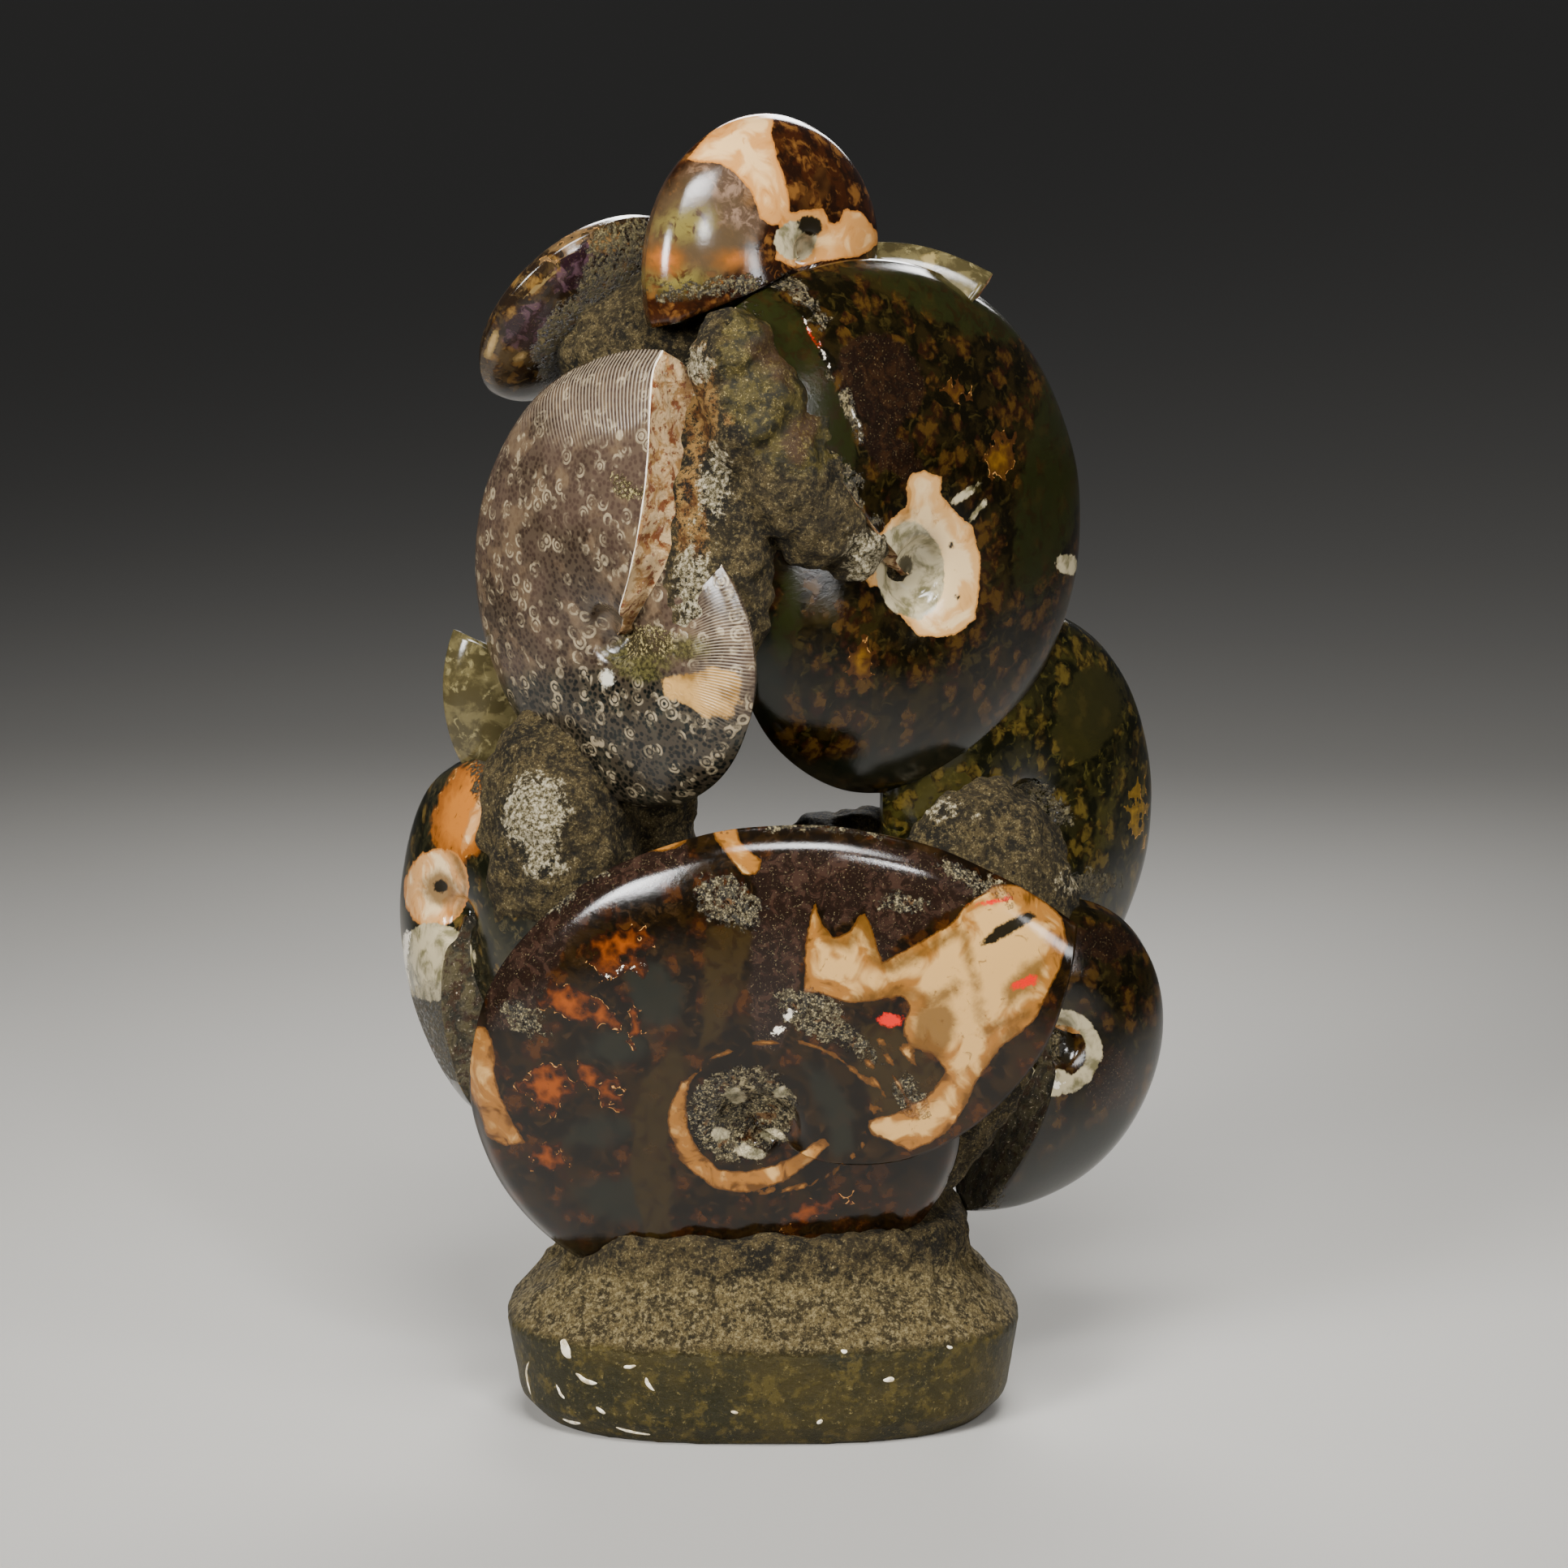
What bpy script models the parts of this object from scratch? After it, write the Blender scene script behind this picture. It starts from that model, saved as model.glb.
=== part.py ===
"""Polished ammonite cluster: eleven coiled fossil shells held in a block of rock, on a foot cut from it.

Axes: +Z up, the shown face towards -Y, +X to the right. The origin is the middle of the foot's underside.
"""

import math
from collections import namedtuple

import bmesh
import bpy
from mathutils import Matrix, Vector, noise

MM = 0.001

# The foot: a low plinth, wider than deep, with a cut wall and a shoulder that rises to a neck.
FOOT_HALF_WIDTH = 54.5
FOOT_HALF_DEPTH = 38.0
FOOT_SQUARENESS = 2.7
FOOT_SIDES = 20
FOOT_LEVELS = ((0.0, 0.86), (5.0, 0.95), (21.0, 1.0), (33.0, 0.80), (43.0, 0.77))

# A shell's half section, from the middle of the navel out to the keel: distance from the coil's
# axis as a share of the whorl's radius, and height over the middle plane as a share of the breadth.
SECTION = (
    (0.00, 0.55),
    (0.10, 0.68),
    (0.18, 0.95),
    (0.45, 0.98),
    (0.75, 0.70),
    (0.93, 0.36),
    (1.00, 0.00),
)
MOUTH_ANGLE = math.radians(4)
LEAN_FADE = 2.5
SHOULDER = 0.3
AT_POLE = 0.01
ON_KEEL = 1e-5

POCKET_ROOM = 0.4
LEAST_TURN_RADIUS = 2.0
MASS_SUBDIVISIONS = 3
ROCK_VOXEL = 3.2
EASE_ROUNDS = 4
ROCK_TRIANGLES = 650
LUMP_SIZE = 14.0
LUMP_HEIGHT = 1.3

# One shell: middle of the coil in mm, the way its shown flank faces (degrees round from the front,
# and up), the direction of its mouth round that flank, how far the mouth leans from navel to keel,
# radius at the mouth in mm, growth in one turn, half breadth as a share of the radius, +1 if it
# grows anticlockwise on the shown flank, stretch across, steps round, and finish.
Shell = namedtuple(
    "Shell", "name middle turn tilt mouth lean radius growth breadth hand stretch steps finish"
)

# A shell gives way to those before it, where the two are pressed together.
SHELLS = (
    Shell("right_cheek_ammonite", (24.5, 4, 178.5), 40, 0, 137, -26, 70, 1.85, 0.25, 1, 1.0, 28, "umber"),
    Shell("left_cheek_ammonite", (-25, -14, 169), -42, -4, 62, 36, 60, 2.2, 0.23, -1, 1.0, 26, "ringed"),
    Shell("belly_ammonite", (-2, -22, 70.5), 0, -12, -2, 72, 73, 1.85, 0.22, -1, 1.10, 28, "russet"),
    Shell("crown_ammonite", (3.8, 2, 244.5), 38, 5, 200, 0, 36, 2.0, 0.36, 1, 1.0, 20, "amber"),
    Shell("upper_left_ammonite", (-40, 12, 229), 45, -36, 10, 0, 34, 2.1, 0.28, -1, 1.0, 20, "plum"),
    Shell("lower_right_ammonite", (57.4, 12.3, 79), 32, -5, 250, 0, 42, 2.1, 0.34, -1, 1.0, 22, "umber"),
    Shell("lower_left_ammonite", (-57, 8, 105), -60, 0, 270, 0, 46, 2.1, 0.28, 1, 1.0, 20, "honey"),
    Shell("right_rear_ammonite", (50, 29, 125), 44, 0, 270, 0, 56, 1.9, 0.24, -1, 1.0, 22, "moss"),
    Shell("top_rear_ammonite", (22, 26, 205), 172, 8, 128, 0, 44, 2.1, 0.24, 1, 1.0, 18, "plum"),
    Shell("left_rear_ammonite", (-40, 32, 147), -150, 0, 30, 0, 34, 2.1, 0.28, 1, 1.0, 18, "moss"),
    Shell("low_rear_ammonite", (-8, 36, 72), 182, -4, 200, 0, 44, 2.1, 0.26, -1, 1.0, 18, "russet"),
)

# Shell and rock finishes: colour, roughness.
FINISHES = {
    "amber": ((0.36, 0.20, 0.09), 0.18),
    "plum": ((0.11, 0.07, 0.06), 0.25),
    "ringed": ((0.21, 0.17, 0.16), 0.3),
    "umber": ((0.10, 0.07, 0.03), 0.22),
    "russet": ((0.13, 0.07, 0.03), 0.22),
    "moss": ((0.13, 0.12, 0.07), 0.3),
    "honey": ((0.34, 0.22, 0.12), 0.28),
    "rock": ((0.19, 0.17, 0.11), 0.75),
}

# The rock's rough masses between the shells: middle and half sizes in mm.
ROCK_MASSES = (
    ((0, 4, 46), (40, 26, 20)),
    ((2, 6, 82), (50, 30, 38)),
    ((-2, -12, 78), (58, 15, 38)),
    ((44, 14, 108), (22, 18, 25)),
    ((22, 34, 97), (28, 14, 25)),
    ((38, 46, 132), (13, 14, 34)),
    ((22, 36, 166), (24, 14, 24)),
    ((-43, 3, 120), (17, 21, 32)),
    ((-28, 18, 130), (14, 15, 36)),
    ((0, 14, 188), (44, 22, 38)),
    ((-2, -10, 207), (20, 17, 22)),
    ((12, -8, 190), (9, 12, 11)),
    ((-10, -16, 182), (13, 16, 32)),
    ((-10, 4, 224), (32, 18, 20)),
)


def clear_scene():
    for old in list(bpy.data.objects):
        bpy.data.objects.remove(old, do_unlink=True)


def collection(name):
    group = bpy.data.collections.new(name)
    bpy.context.scene.collection.children.link(group)
    return group


def finish(name):
    """The Principled material of one of the finishes above."""
    material = bpy.data.materials.get(name)
    if material:
        return material
    colour, roughness = FINISHES[name]
    material = bpy.data.materials.new(name)
    material.use_nodes = True
    shader = material.node_tree.nodes["Principled BSDF"]
    shader.inputs["Base Color"].default_value = (*colour, 1.0)
    shader.inputs["Roughness"].default_value = roughness
    return material


def object_from(name, bm, group, material=None):
    """Writes a bmesh in mm to a new object in metres."""
    bmesh.ops.scale(bm, vec=(MM, MM, MM), verts=bm.verts)
    bmesh.ops.recalc_face_normals(bm, faces=bm.faces)
    mesh = bpy.data.meshes.new(name)
    bm.to_mesh(mesh)
    bm.free()
    made = bpy.data.objects.new(name, mesh)
    group.objects.link(made)
    if material:
        mesh.materials.append(material)
    return made


def as_helper(made):
    """Marks an object as a cutter or guide, which is no part of the cluster."""
    made.hide_render = True
    made.display_type = "WIRE"
    return made


def shell_frame(shell):
    """Turns a shell's own axes (right, up, out of the shown flank) and moves them to its place."""
    turn, tilt = math.radians(shell.turn), math.radians(shell.tilt)
    out = Vector(
        (math.sin(turn) * math.cos(tilt), -math.cos(turn) * math.cos(tilt), math.sin(tilt))
    )
    right = Vector((0, 0, 1)).cross(out).normalized()
    up = out.cross(right)
    axes = Matrix((right, up, out)).transposed().to_4x4()
    return Matrix.Translation(shell.middle) @ axes


def section_at(share):
    """The half section's point at a share of the way from the navel, 0, to the keel, 1."""
    place = share * (len(SECTION) - 1)
    first = min(int(place), len(SECTION) - 2)
    blend = place - first
    (r0, h0), (r1, h1) = SECTION[first], SECTION[first + 1]
    return r0 + (r1 - r0) * blend, h0 + (h1 - h0) * blend


def coil(shell, room=0.0):
    """A sphere with its poles in the shell's two navels, drawn out into a spiral.

    Going round the sphere once is one whorl, so the step between its first and last meridian is
    the mouth, where the outer whorl ends and the one before it comes out from under it. Room makes
    it larger all round and fills the navels, for the pocket that the shell sits in. The faces are
    split the same way in both, so that a bent face never reaches across the gap.
    """
    bm = bmesh.new()
    steps = shell.steps
    rings = 2 * (len(SECTION) - 1)
    bmesh.ops.create_uvsphere(bm, u_segments=steps, v_segments=rings, radius=1)
    bmesh.ops.triangulate(bm, faces=bm.faces, quad_method="FIXED")
    whorl = 2 * math.pi - MOUTH_ANGLE
    mouth = math.radians(shell.mouth)
    for vert in bm.verts:
        x, y, z = vert.co
        from_pole = math.acos(max(-1.0, min(1.0, abs(z)))) / (math.pi / 2)
        if from_pole < AT_POLE:
            behind = 0.5
        else:
            step = round(math.atan2(x, y) / (2 * math.pi) * steps) % steps
            behind = step / (steps - 1)
        radius = shell.radius * shell.growth**-behind
        reach, height = section_at(min(1.0, from_pole))
        away = radius * reach + room * reach
        if room and reach < SHOULDER:
            height = 1.0
        near_mouth = abs(2 * behind - 1) ** LEAN_FADE
        lean = math.radians(shell.lean) * (radius * reach / shell.radius - 0.5)
        angle = mouth - shell.hand * behind * whorl + lean * near_mouth
        if behind in (0.0, 1.0):
            angle += shell.hand * room / max(away, LEAST_TURN_RADIUS)
        side = math.copysign(1.0, z) if abs(z) > ON_KEEL else 0.0
        vert.co = (
            shell.stretch * away * math.cos(angle),
            away * math.sin(angle),
            side * (radius * shell.breadth * height + room),
        )
    bmesh.ops.transform(bm, matrix=shell_frame(shell), verts=bm.verts)
    return bm


def foot_outline(share, angle):
    """A point of the foot's plan, an ellipse pressed towards a rectangle, at a share of full size."""
    power = 2 / FOOT_SQUARENESS
    across, along = math.cos(angle), math.sin(angle)
    return (
        share * FOOT_HALF_WIDTH * math.copysign(abs(across) ** power, across),
        share * FOOT_HALF_DEPTH * math.copysign(abs(along) ** power, along),
    )


def foot(group):
    """The plinth: a cylinder over the first two levels, then its top drawn on up level by level."""
    bm = bmesh.new()
    bmesh.ops.create_cone(bm, cap_ends=True, segments=FOOT_SIDES, radius1=1, radius2=1, depth=1)
    for vert in bm.verts:
        height, share = FOOT_LEVELS[0 if vert.co.z < 0 else 1]
        vert.co = (*foot_outline(share, math.atan2(vert.co.y, vert.co.x)), height)
    top = max(bm.faces, key=lambda face: face.calc_center_median().z)
    for (_, below), (height, share) in zip(FOOT_LEVELS[1:], FOOT_LEVELS[2:]):
        top = bmesh.ops.extrude_discrete_faces(bm, faces=[top])["faces"][0]
        bmesh.ops.scale(bm, vec=(share / below, share / below, 1), verts=top.verts)
        for vert in top.verts:
            vert.co.z = height
    return as_helper(object_from("foot_blank", bm, group))


def rock_core(group):
    """The rough masses run together by a voxel remesh, lumped, and thinned to few faces."""
    bm = bmesh.new()
    for middle, half in ROCK_MASSES:
        place = Matrix.Translation(middle) @ Matrix.Diagonal((*half, 1.0))
        bmesh.ops.create_icosphere(bm, subdivisions=MASS_SUBDIVISIONS, radius=1, matrix=place)
    core = object_from("rock_blank", bm, group)
    remesh = core.modifiers.new("Run together", "REMESH")
    remesh.mode = "VOXEL"
    remesh.voxel_size = ROCK_VOXEL * MM
    smooth = core.modifiers.new("Ease joins", "SMOOTH")
    smooth.iterations = EASE_ROUNDS
    evaluated = core.evaluated_get(bpy.context.evaluated_depsgraph_get())
    mesh = bpy.data.meshes.new_from_object(evaluated)
    for vert in mesh.vertices:
        away = Vector((vert.co.x, vert.co.y, 0)).normalized()
        vert.co += away * noise.noise(vert.co / (LUMP_SIZE * MM)) * LUMP_HEIGHT * MM
    triangles = 2 * len(mesh.polygons)
    core.modifiers.clear()
    core.data = mesh
    thin = core.modifiers.new("Fewer faces", "DECIMATE")
    thin.ratio = ROCK_TRIANGLES / triangles
    return core


def boolean(target, other, operation):
    modifier = target.modifiers.new(f"{operation.title()} {other.name}", "BOOLEAN")
    modifier.operation = operation
    modifier.solver = "EXACT"
    modifier.object = other


def rock(parts, helpers):
    """The rough rock and its foot in one."""
    made = rock_core(parts)
    made.name = made.data.name = "rock_matrix"
    made.data.materials.clear()
    made.data.materials.append(finish("rock"))
    boolean(made, foot(helpers), "UNION")
    return made


def meet(first, second):
    """Whether two shells are close enough to touch."""
    apart = (Vector(first.middle) - Vector(second.middle)).length
    return apart < first.radius * first.stretch + second.radius * second.stretch


def main():
    clear_scene()
    parts = collection("ammonite_cluster")
    helpers = collection("cutters")
    matrix = rock(parts, helpers)
    pockets = []
    for shell in SHELLS:
        made = object_from(shell.name, coil(shell), parts, finish(shell.finish))
        made.data.shade_smooth()
        for before, pocket in pockets:
            if meet(shell, before):
                boolean(made, pocket, "DIFFERENCE")
        pocket = as_helper(object_from(f"pocket_{shell.name}", coil(shell, POCKET_ROOM), helpers))
        pockets.append((shell, pocket))
        boolean(matrix, pocket, "DIFFERENCE")


main()
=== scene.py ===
# %% [markdown]
# # A cluster of polished ammonites
#
# The real object is a group of fossil shells from one layer of Cretaceous sea floor. Their chambers
# are filled with brown and honey coloured calcite, they were ground and polished one by one, and the
# sandstone that holds them was left rough between them and cut to a foot below. The CAD frame gives
# each shell a place and a simple solid. This script puts a finely shaped shell over each of those,
# with the look of the fossil, and carves the rock.

# %% Load the frame
import math
from collections import namedtuple

import bmesh
import bpy
import numpy as np
from mathutils import Matrix, Vector, noise
from mathutils.bvhtree import BVHTree


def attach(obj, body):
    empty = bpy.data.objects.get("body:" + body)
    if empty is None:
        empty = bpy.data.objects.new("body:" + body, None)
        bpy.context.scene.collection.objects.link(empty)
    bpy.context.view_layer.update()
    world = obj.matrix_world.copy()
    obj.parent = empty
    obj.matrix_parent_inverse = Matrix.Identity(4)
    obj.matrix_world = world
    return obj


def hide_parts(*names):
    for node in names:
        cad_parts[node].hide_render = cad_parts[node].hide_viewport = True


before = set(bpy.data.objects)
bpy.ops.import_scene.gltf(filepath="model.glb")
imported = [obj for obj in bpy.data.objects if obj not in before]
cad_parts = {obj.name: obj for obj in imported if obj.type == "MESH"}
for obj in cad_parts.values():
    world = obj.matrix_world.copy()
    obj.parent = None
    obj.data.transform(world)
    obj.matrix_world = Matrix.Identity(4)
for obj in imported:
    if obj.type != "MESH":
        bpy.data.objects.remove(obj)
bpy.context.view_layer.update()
MM = 0.001

# %% [markdown]
# ## The camera
#
# The photograph was taken from in front and a little above, with a long lens. The camera comes first
# here, because the marks on the shells are placed by their pixel in that photograph: a point of the
# surface is projected to the photograph, and the mark's distance is measured there. The result is
# kept on the surface itself, so it stays put when the view turns.

# %% Camera and the photograph's pixels
PHOTO_SIDE = 1932
AIM = Vector((4.4, 0, 134)) * MM
CAMERA_DISTANCE = 1.2
CAMERA_RISE = math.radians(11)
LENS, SENSOR = 131.5, 36.0
PIXELS_PER_SLOPE = PHOTO_SIDE * LENS / SENSOR
PIXEL = CAMERA_DISTANCE / PIXELS_PER_SLOPE

towards_camera = Vector((0, -math.cos(CAMERA_RISE), math.sin(CAMERA_RISE)))
camera_up = Vector((0, math.sin(CAMERA_RISE), math.cos(CAMERA_RISE)))
eye = AIM + towards_camera * CAMERA_DISTANCE


def put_in_scene(name, data):
    """Makes an object of a mesh, a light or a camera, and links it to the scene."""
    made = bpy.data.objects.new(name, data)
    bpy.context.scene.collection.objects.link(made)
    return made


camera = put_in_scene("Camera", bpy.data.cameras.new("Camera"))
camera.data.lens = LENS
camera.data.sensor_width = SENSOR
camera.location = eye
camera.rotation_mode = "QUATERNION"
camera.rotation_quaternion = (-towards_camera).to_track_quat("-Z", "Y")
bpy.context.scene.camera = camera


def photo_pixel(points):
    """Where points of the object, an array of rows in metres, fall in the photograph."""
    away = points - np.array(eye)
    depth = -away @ np.array(towards_camera)
    across = away[:, 0] / depth
    rise = (away @ np.array(camera_up)) / depth
    half = PHOTO_SIDE / 2
    return half + across * PIXELS_PER_SLOPE, half - rise * PIXELS_PER_SLOPE


def photo_ray(x, y):
    """The direction from the camera through a pixel of the photograph."""
    half = PHOTO_SIDE / 2
    across = Vector((1, 0, 0)) * (x - half) / PIXELS_PER_SLOPE
    return (across + camera_up * (half - y) / PIXELS_PER_SLOPE - towards_camera).normalized()


print("one photograph pixel is", round(PIXEL / MM, 3), "mm at the object")

# %% [markdown]
# ## Marks
#
# A polished fossil is patchy: cream where the nacre survives, amber where calcite filled a chamber,
# a crust where the sandstone sticks. Each patch is an ellipse, an outline or a stroke, placed by
# pixels of the photograph. Every vertex gets its depth inside the nearest one in mm, and the
# material later frays that edge with noise, which is far finer than the mesh.

# %% Patches, outlines and strokes
Patch = namedtuple("Patch", "x y wide high turn band", defaults=(0, 0))
Outline = namedtuple("Outline", "points")
Stroke = namedtuple("Stroke", "half points")
OUTSIDE = -6.0
GRAZING = 0.02


def line_distance(across, down, ends):
    """Distance in pixels from points of the photograph to the nearest of a row of segments."""
    nearest = np.full(len(across), np.inf)
    for (x1, y1), (x2, y2) in ends:
        dx, dy = x2 - x1, y2 - y1
        share = ((across - x1) * dx + (down - y1) * dy) / (dx * dx + dy * dy)
        share = np.clip(share, 0, 1)
        nearest = np.minimum(nearest, np.hypot(across - x1 - share * dx, down - y1 - share * dy))
    return nearest


def ellipse_depth(across, down, patch):
    """Pixels inside an ellipse, or inside the ring of a half width that follows its edge."""
    turn = math.radians(patch.turn)
    dx, dy = across - patch.x, down - patch.y
    along = (dx * math.cos(turn) + dy * math.sin(turn)) / patch.wide
    over = (dy * math.cos(turn) - dx * math.sin(turn)) / patch.high
    inside = (1 - np.hypot(along, over)) * min(patch.wide, patch.high)
    return patch.band - np.abs(inside) if patch.band else inside


def outline_depth(across, down, outline):
    """Pixels inside a closed outline, less than nothing outside it."""
    ends = list(zip(outline.points, outline.points[1:] + outline.points[:1]))
    within = np.zeros(len(across), dtype=bool)
    for (x1, y1), (x2, y2) in ends:
        if y1 != y2:
            spans = (y1 > down) != (y2 > down)
            within ^= spans & (across < x1 + (down - y1) * (x2 - x1) / (y2 - y1))
    distance = line_distance(across, down, ends)
    return np.where(within, distance, -distance)


def mark_depth(points, normals, marks):
    """Depth in mm inside the nearest mark, on the side that the camera sees."""
    depth = np.full(len(points), OUTSIDE)
    across, down = photo_pixel(points)
    for mark in marks:
        if isinstance(mark, Patch):
            inside = ellipse_depth(across, down, mark)
        elif isinstance(mark, Outline):
            inside = outline_depth(across, down, mark)
        else:
            inside = mark.half - line_distance(across, down, list(zip(mark.points, mark.points[1:])))
        depth = np.maximum(depth, inside * PIXEL / MM)
    return np.where(normals @ np.array(towards_camera) > GRAZING, depth, OUTSIDE)


# Some kinds of mark are painted light, not the stone's colour: white highlights and glints, red glints,
# shade in the navel pits, and smoky patches that are partly painted shade and sheen.
KINDS = "nacre stain pearl amber smoke plum olive crust ribs flash bright dark".split()


def mark_surface(mesh, marks):
    """Writes one attribute for each kind of mark to a mesh."""
    count = len(mesh.vertices)
    points = np.empty(count * 3)
    normals = np.empty(count * 3)
    mesh.vertices.foreach_get("co", points)
    mesh.vertices.foreach_get("normal", normals)
    points, normals = points.reshape(-1, 3), normals.reshape(-1, 3)
    for kind in KINDS:
        layer = mesh.attributes.new(kind, "FLOAT", "POINT")
        depth = mark_depth(points, normals, marks.get(kind, ()))
        layer.data.foreach_set("value", depth.astype(np.float32))


# %% [markdown]
# ## Shells
#
# An ammonite grows by adding to its mouth, so it widens by the same share in each turn: a
# logarithmic spiral. Cleoniceras is flat and its last turn wraps nearly all the earlier ones, so one
# whorl shows on each side, round a small navel. A sphere can be drawn out into that shape. Its poles
# go to the two navels, each meridian is one moment of growth, and the step between the last meridian
# and the first becomes the mouth.

# %% The eleven shells
# Angles are in degrees and sizes in mm. Turn and tilt point the shown flank, mouth and lean set the
# lip, growth is how much one turn widens the shell, and hand is the way that it winds.
Shell = namedtuple("Shell", "name middle turn tilt mouth lean radius growth breadth hand stretch")

SHELLS = (
    Shell("right_cheek_ammonite", (24.5, 4, 178.5), 40, 0, 137, -26, 70, 1.85, 0.25, 1, 1.0),
    Shell("left_cheek_ammonite", (-25, -14, 169), -42, -4, 62, 36, 60, 2.2, 0.23, -1, 1.0),
    Shell("belly_ammonite", (-2, -22, 70.5), 0, -12, -2, 72, 73, 1.85, 0.22, -1, 1.10),
    Shell("crown_ammonite", (3.8, 2, 244.5), 38, 5, 200, 0, 36, 2.0, 0.36, 1, 1.0),
    Shell("upper_left_ammonite", (-40, 12, 229), 45, -36, 10, 0, 34, 2.1, 0.28, -1, 1.0),
    Shell("lower_right_ammonite", (57.4, 12.3, 79), 32, -5, 250, 0, 42, 2.1, 0.34, -1, 1.0),
    Shell("lower_left_ammonite", (-57, 8, 105), -60, 0, 270, 0, 46, 2.1, 0.28, 1, 1.0),
    Shell("right_rear_ammonite", (50, 29, 125), 44, 0, 270, 0, 56, 1.9, 0.24, -1, 1.0),
    Shell("top_rear_ammonite", (22, 26, 205), 172, 8, 128, 0, 44, 2.1, 0.24, 1, 1.0),
    Shell("left_rear_ammonite", (-40, 32, 147), -150, 0, 30, 0, 34, 2.1, 0.28, 1, 1.0),
    Shell("low_rear_ammonite", (-8, 36, 72), 182, -4, 200, 0, 44, 2.1, 0.26, -1, 1.0),
)

# The whorl's half section from navel to keel: out from the middle, and up as a share of the breadth.
SECTION = (
    (0.00, 0.55),
    (0.10, 0.68),
    (0.18, 0.92),
    (0.45, 0.98),
    (0.75, 0.72),
    (0.93, 0.38),
    (1.00, 0.00),
)
MOUTH_ANGLE = math.radians(4)
LEAN_FADE = 2.5
MEAN_GIRTH = 1.6
FACE_SPACING = 1.2
RINGS_PER_STEP = 0.5
MOUTH_JUMP = 0.9
MOUTH_CUTS = 10


def shell_frame(shell):
    """Turns a shell's own axes (right, up, out of the shown flank) and moves them to its place."""
    turn, tilt = math.radians(shell.turn), math.radians(shell.tilt)
    out = Vector(
        (math.sin(turn) * math.cos(tilt), -math.cos(turn) * math.cos(tilt), math.sin(tilt))
    )
    right = Vector((0, 0, 1)).cross(out).normalized()
    axes = Matrix((right, out.cross(right), out)).transposed().to_4x4()
    return Matrix.Translation(shell.middle) @ axes


def section_at(share):
    """A point of the whorl's smooth half section, at a share of the way from navel to keel."""
    (r1, h1), (r2, h2) = SECTION[1], SECTION[-2]
    knots = [(-r1, h1), *SECTION, (2 - r2, -h2)]
    place = share * (len(SECTION) - 1)
    first = min(int(place), len(SECTION) - 2)
    t = place - first
    weights = (
        -t * (1 - t) ** 2 / 2,
        1 + t * t * (3 * t - 5) / 2,
        t * (1 + t * (4 - 3 * t)) / 2,
        t * t * (t - 1) / 2,
    )
    return [
        sum(weight * knots[first + i][axis] for i, weight in enumerate(weights))
        for axis in (0, 1)
    ]


def coil(shell):
    """A sphere drawn out into a spiral, in its place and in metres."""
    steps = 4 * round(MEAN_GIRTH * math.pi * shell.radius / FACE_SPACING / 4)
    rings = 2 * round(steps * RINGS_PER_STEP / 2)
    bm = bmesh.new()
    bmesh.ops.create_uvsphere(bm, u_segments=steps, v_segments=rings, radius=1)
    growth = bm.verts.layers.float_vector.new("growth")
    whorl = 2 * math.pi - MOUTH_ANGLE
    sections = [section_at(ring / (rings / 2)) for ring in range(rings // 2 + 1)]
    for vert in bm.verts:
        x, y, z = vert.co
        ring = round(math.acos(min(1.0, abs(z))) / math.pi * rings)
        step = round(math.atan2(x, y) / (2 * math.pi) * steps) % steps
        behind = step / (steps - 1) if ring else 0.5
        radius = shell.radius * shell.growth**-behind
        reach, height = sections[ring]
        lean = math.radians(shell.lean) * (radius * reach / shell.radius - 0.5)
        angle = math.radians(shell.mouth) - shell.hand * behind * whorl
        angle += lean * abs(2 * behind - 1) ** LEAN_FADE
        side = math.copysign(1.0, z)
        vert.co = (
            shell.stretch * radius * reach * math.cos(angle),
            radius * reach * math.sin(angle),
            side * radius * shell.breadth * height,
        )
        vert[growth] = (behind * whorl * shell.radius * MM, reach * shell.radius * MM, side * height)
    last = whorl * shell.radius * MM
    across_mouth = [
        edge
        for edge in bm.edges
        if abs(edge.verts[0][growth].x - edge.verts[1][growth].x) > last * MOUTH_JUMP
    ]
    mouth_faces = {face for edge in across_mouth for face in edge.link_faces}
    for face in mouth_faces:
        face.material_index = 1
    bmesh.ops.subdivide_edges(bm, edges=across_mouth, cuts=MOUTH_CUTS, use_grid_fill=True)
    bmesh.ops.transform(bm, matrix=Matrix.Scale(MM, 4) @ shell_frame(shell), verts=bm.verts)
    bmesh.ops.recalc_face_normals(bm, faces=bm.faces)
    return bm


# %% Uneven surfaces
HAND_POLISH, HAND_POLISH_SIZE = 0.35, 17
MOUTH_LUMPS = ((5, 0.9), (2, 0.45))


def uneven(point, size, seed=0.0):
    """Smooth noise between about -1 and 1, with lumps of a size in mm."""
    return noise.noise(point / (size * MM) + Vector((seed, seed, seed)))


def push_out(bm, rise):
    """Moves each vertex along its normal by what a function of the vertex gives, in mm."""
    bm.normal_update()
    moves = [vert.normal * rise(vert) * MM for vert in bm.verts]
    for vert, move in zip(bm.verts, moves):
        vert.co += move


def polish_rise(vert):
    """The slightly uneven flats that a grinding wheel leaves, and a rough face in the mouth."""
    rise = HAND_POLISH * uneven(vert.co, HAND_POLISH_SIZE)
    if all(face.material_index for face in vert.link_faces):
        rise += sum(share * uneven(vert.co, size) for size, share in MOUTH_LUMPS)
    return rise


def write_piece(name, bm, materials):
    """Makes an object at the origin from a bmesh, and rides it on the CAD body."""
    mesh = bpy.data.meshes.new(name)
    bm.to_mesh(mesh)
    bm.free()
    for material in materials:
        mesh.materials.append(material)
    mesh.shade_smooth()
    piece = put_in_scene(name, mesh)
    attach(piece, "root")
    return piece


# %% [markdown]
# ## Materials
#
# One function turns a colour picker's value to the linear light that the shader works in, and one
# adds a node. The few others each do one thing that every finish here needs, such as a cloudy
# pattern of a size, or colours laid over one another. They find the material from what they are
# given, because a node's output knows which tree it is in.

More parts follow.
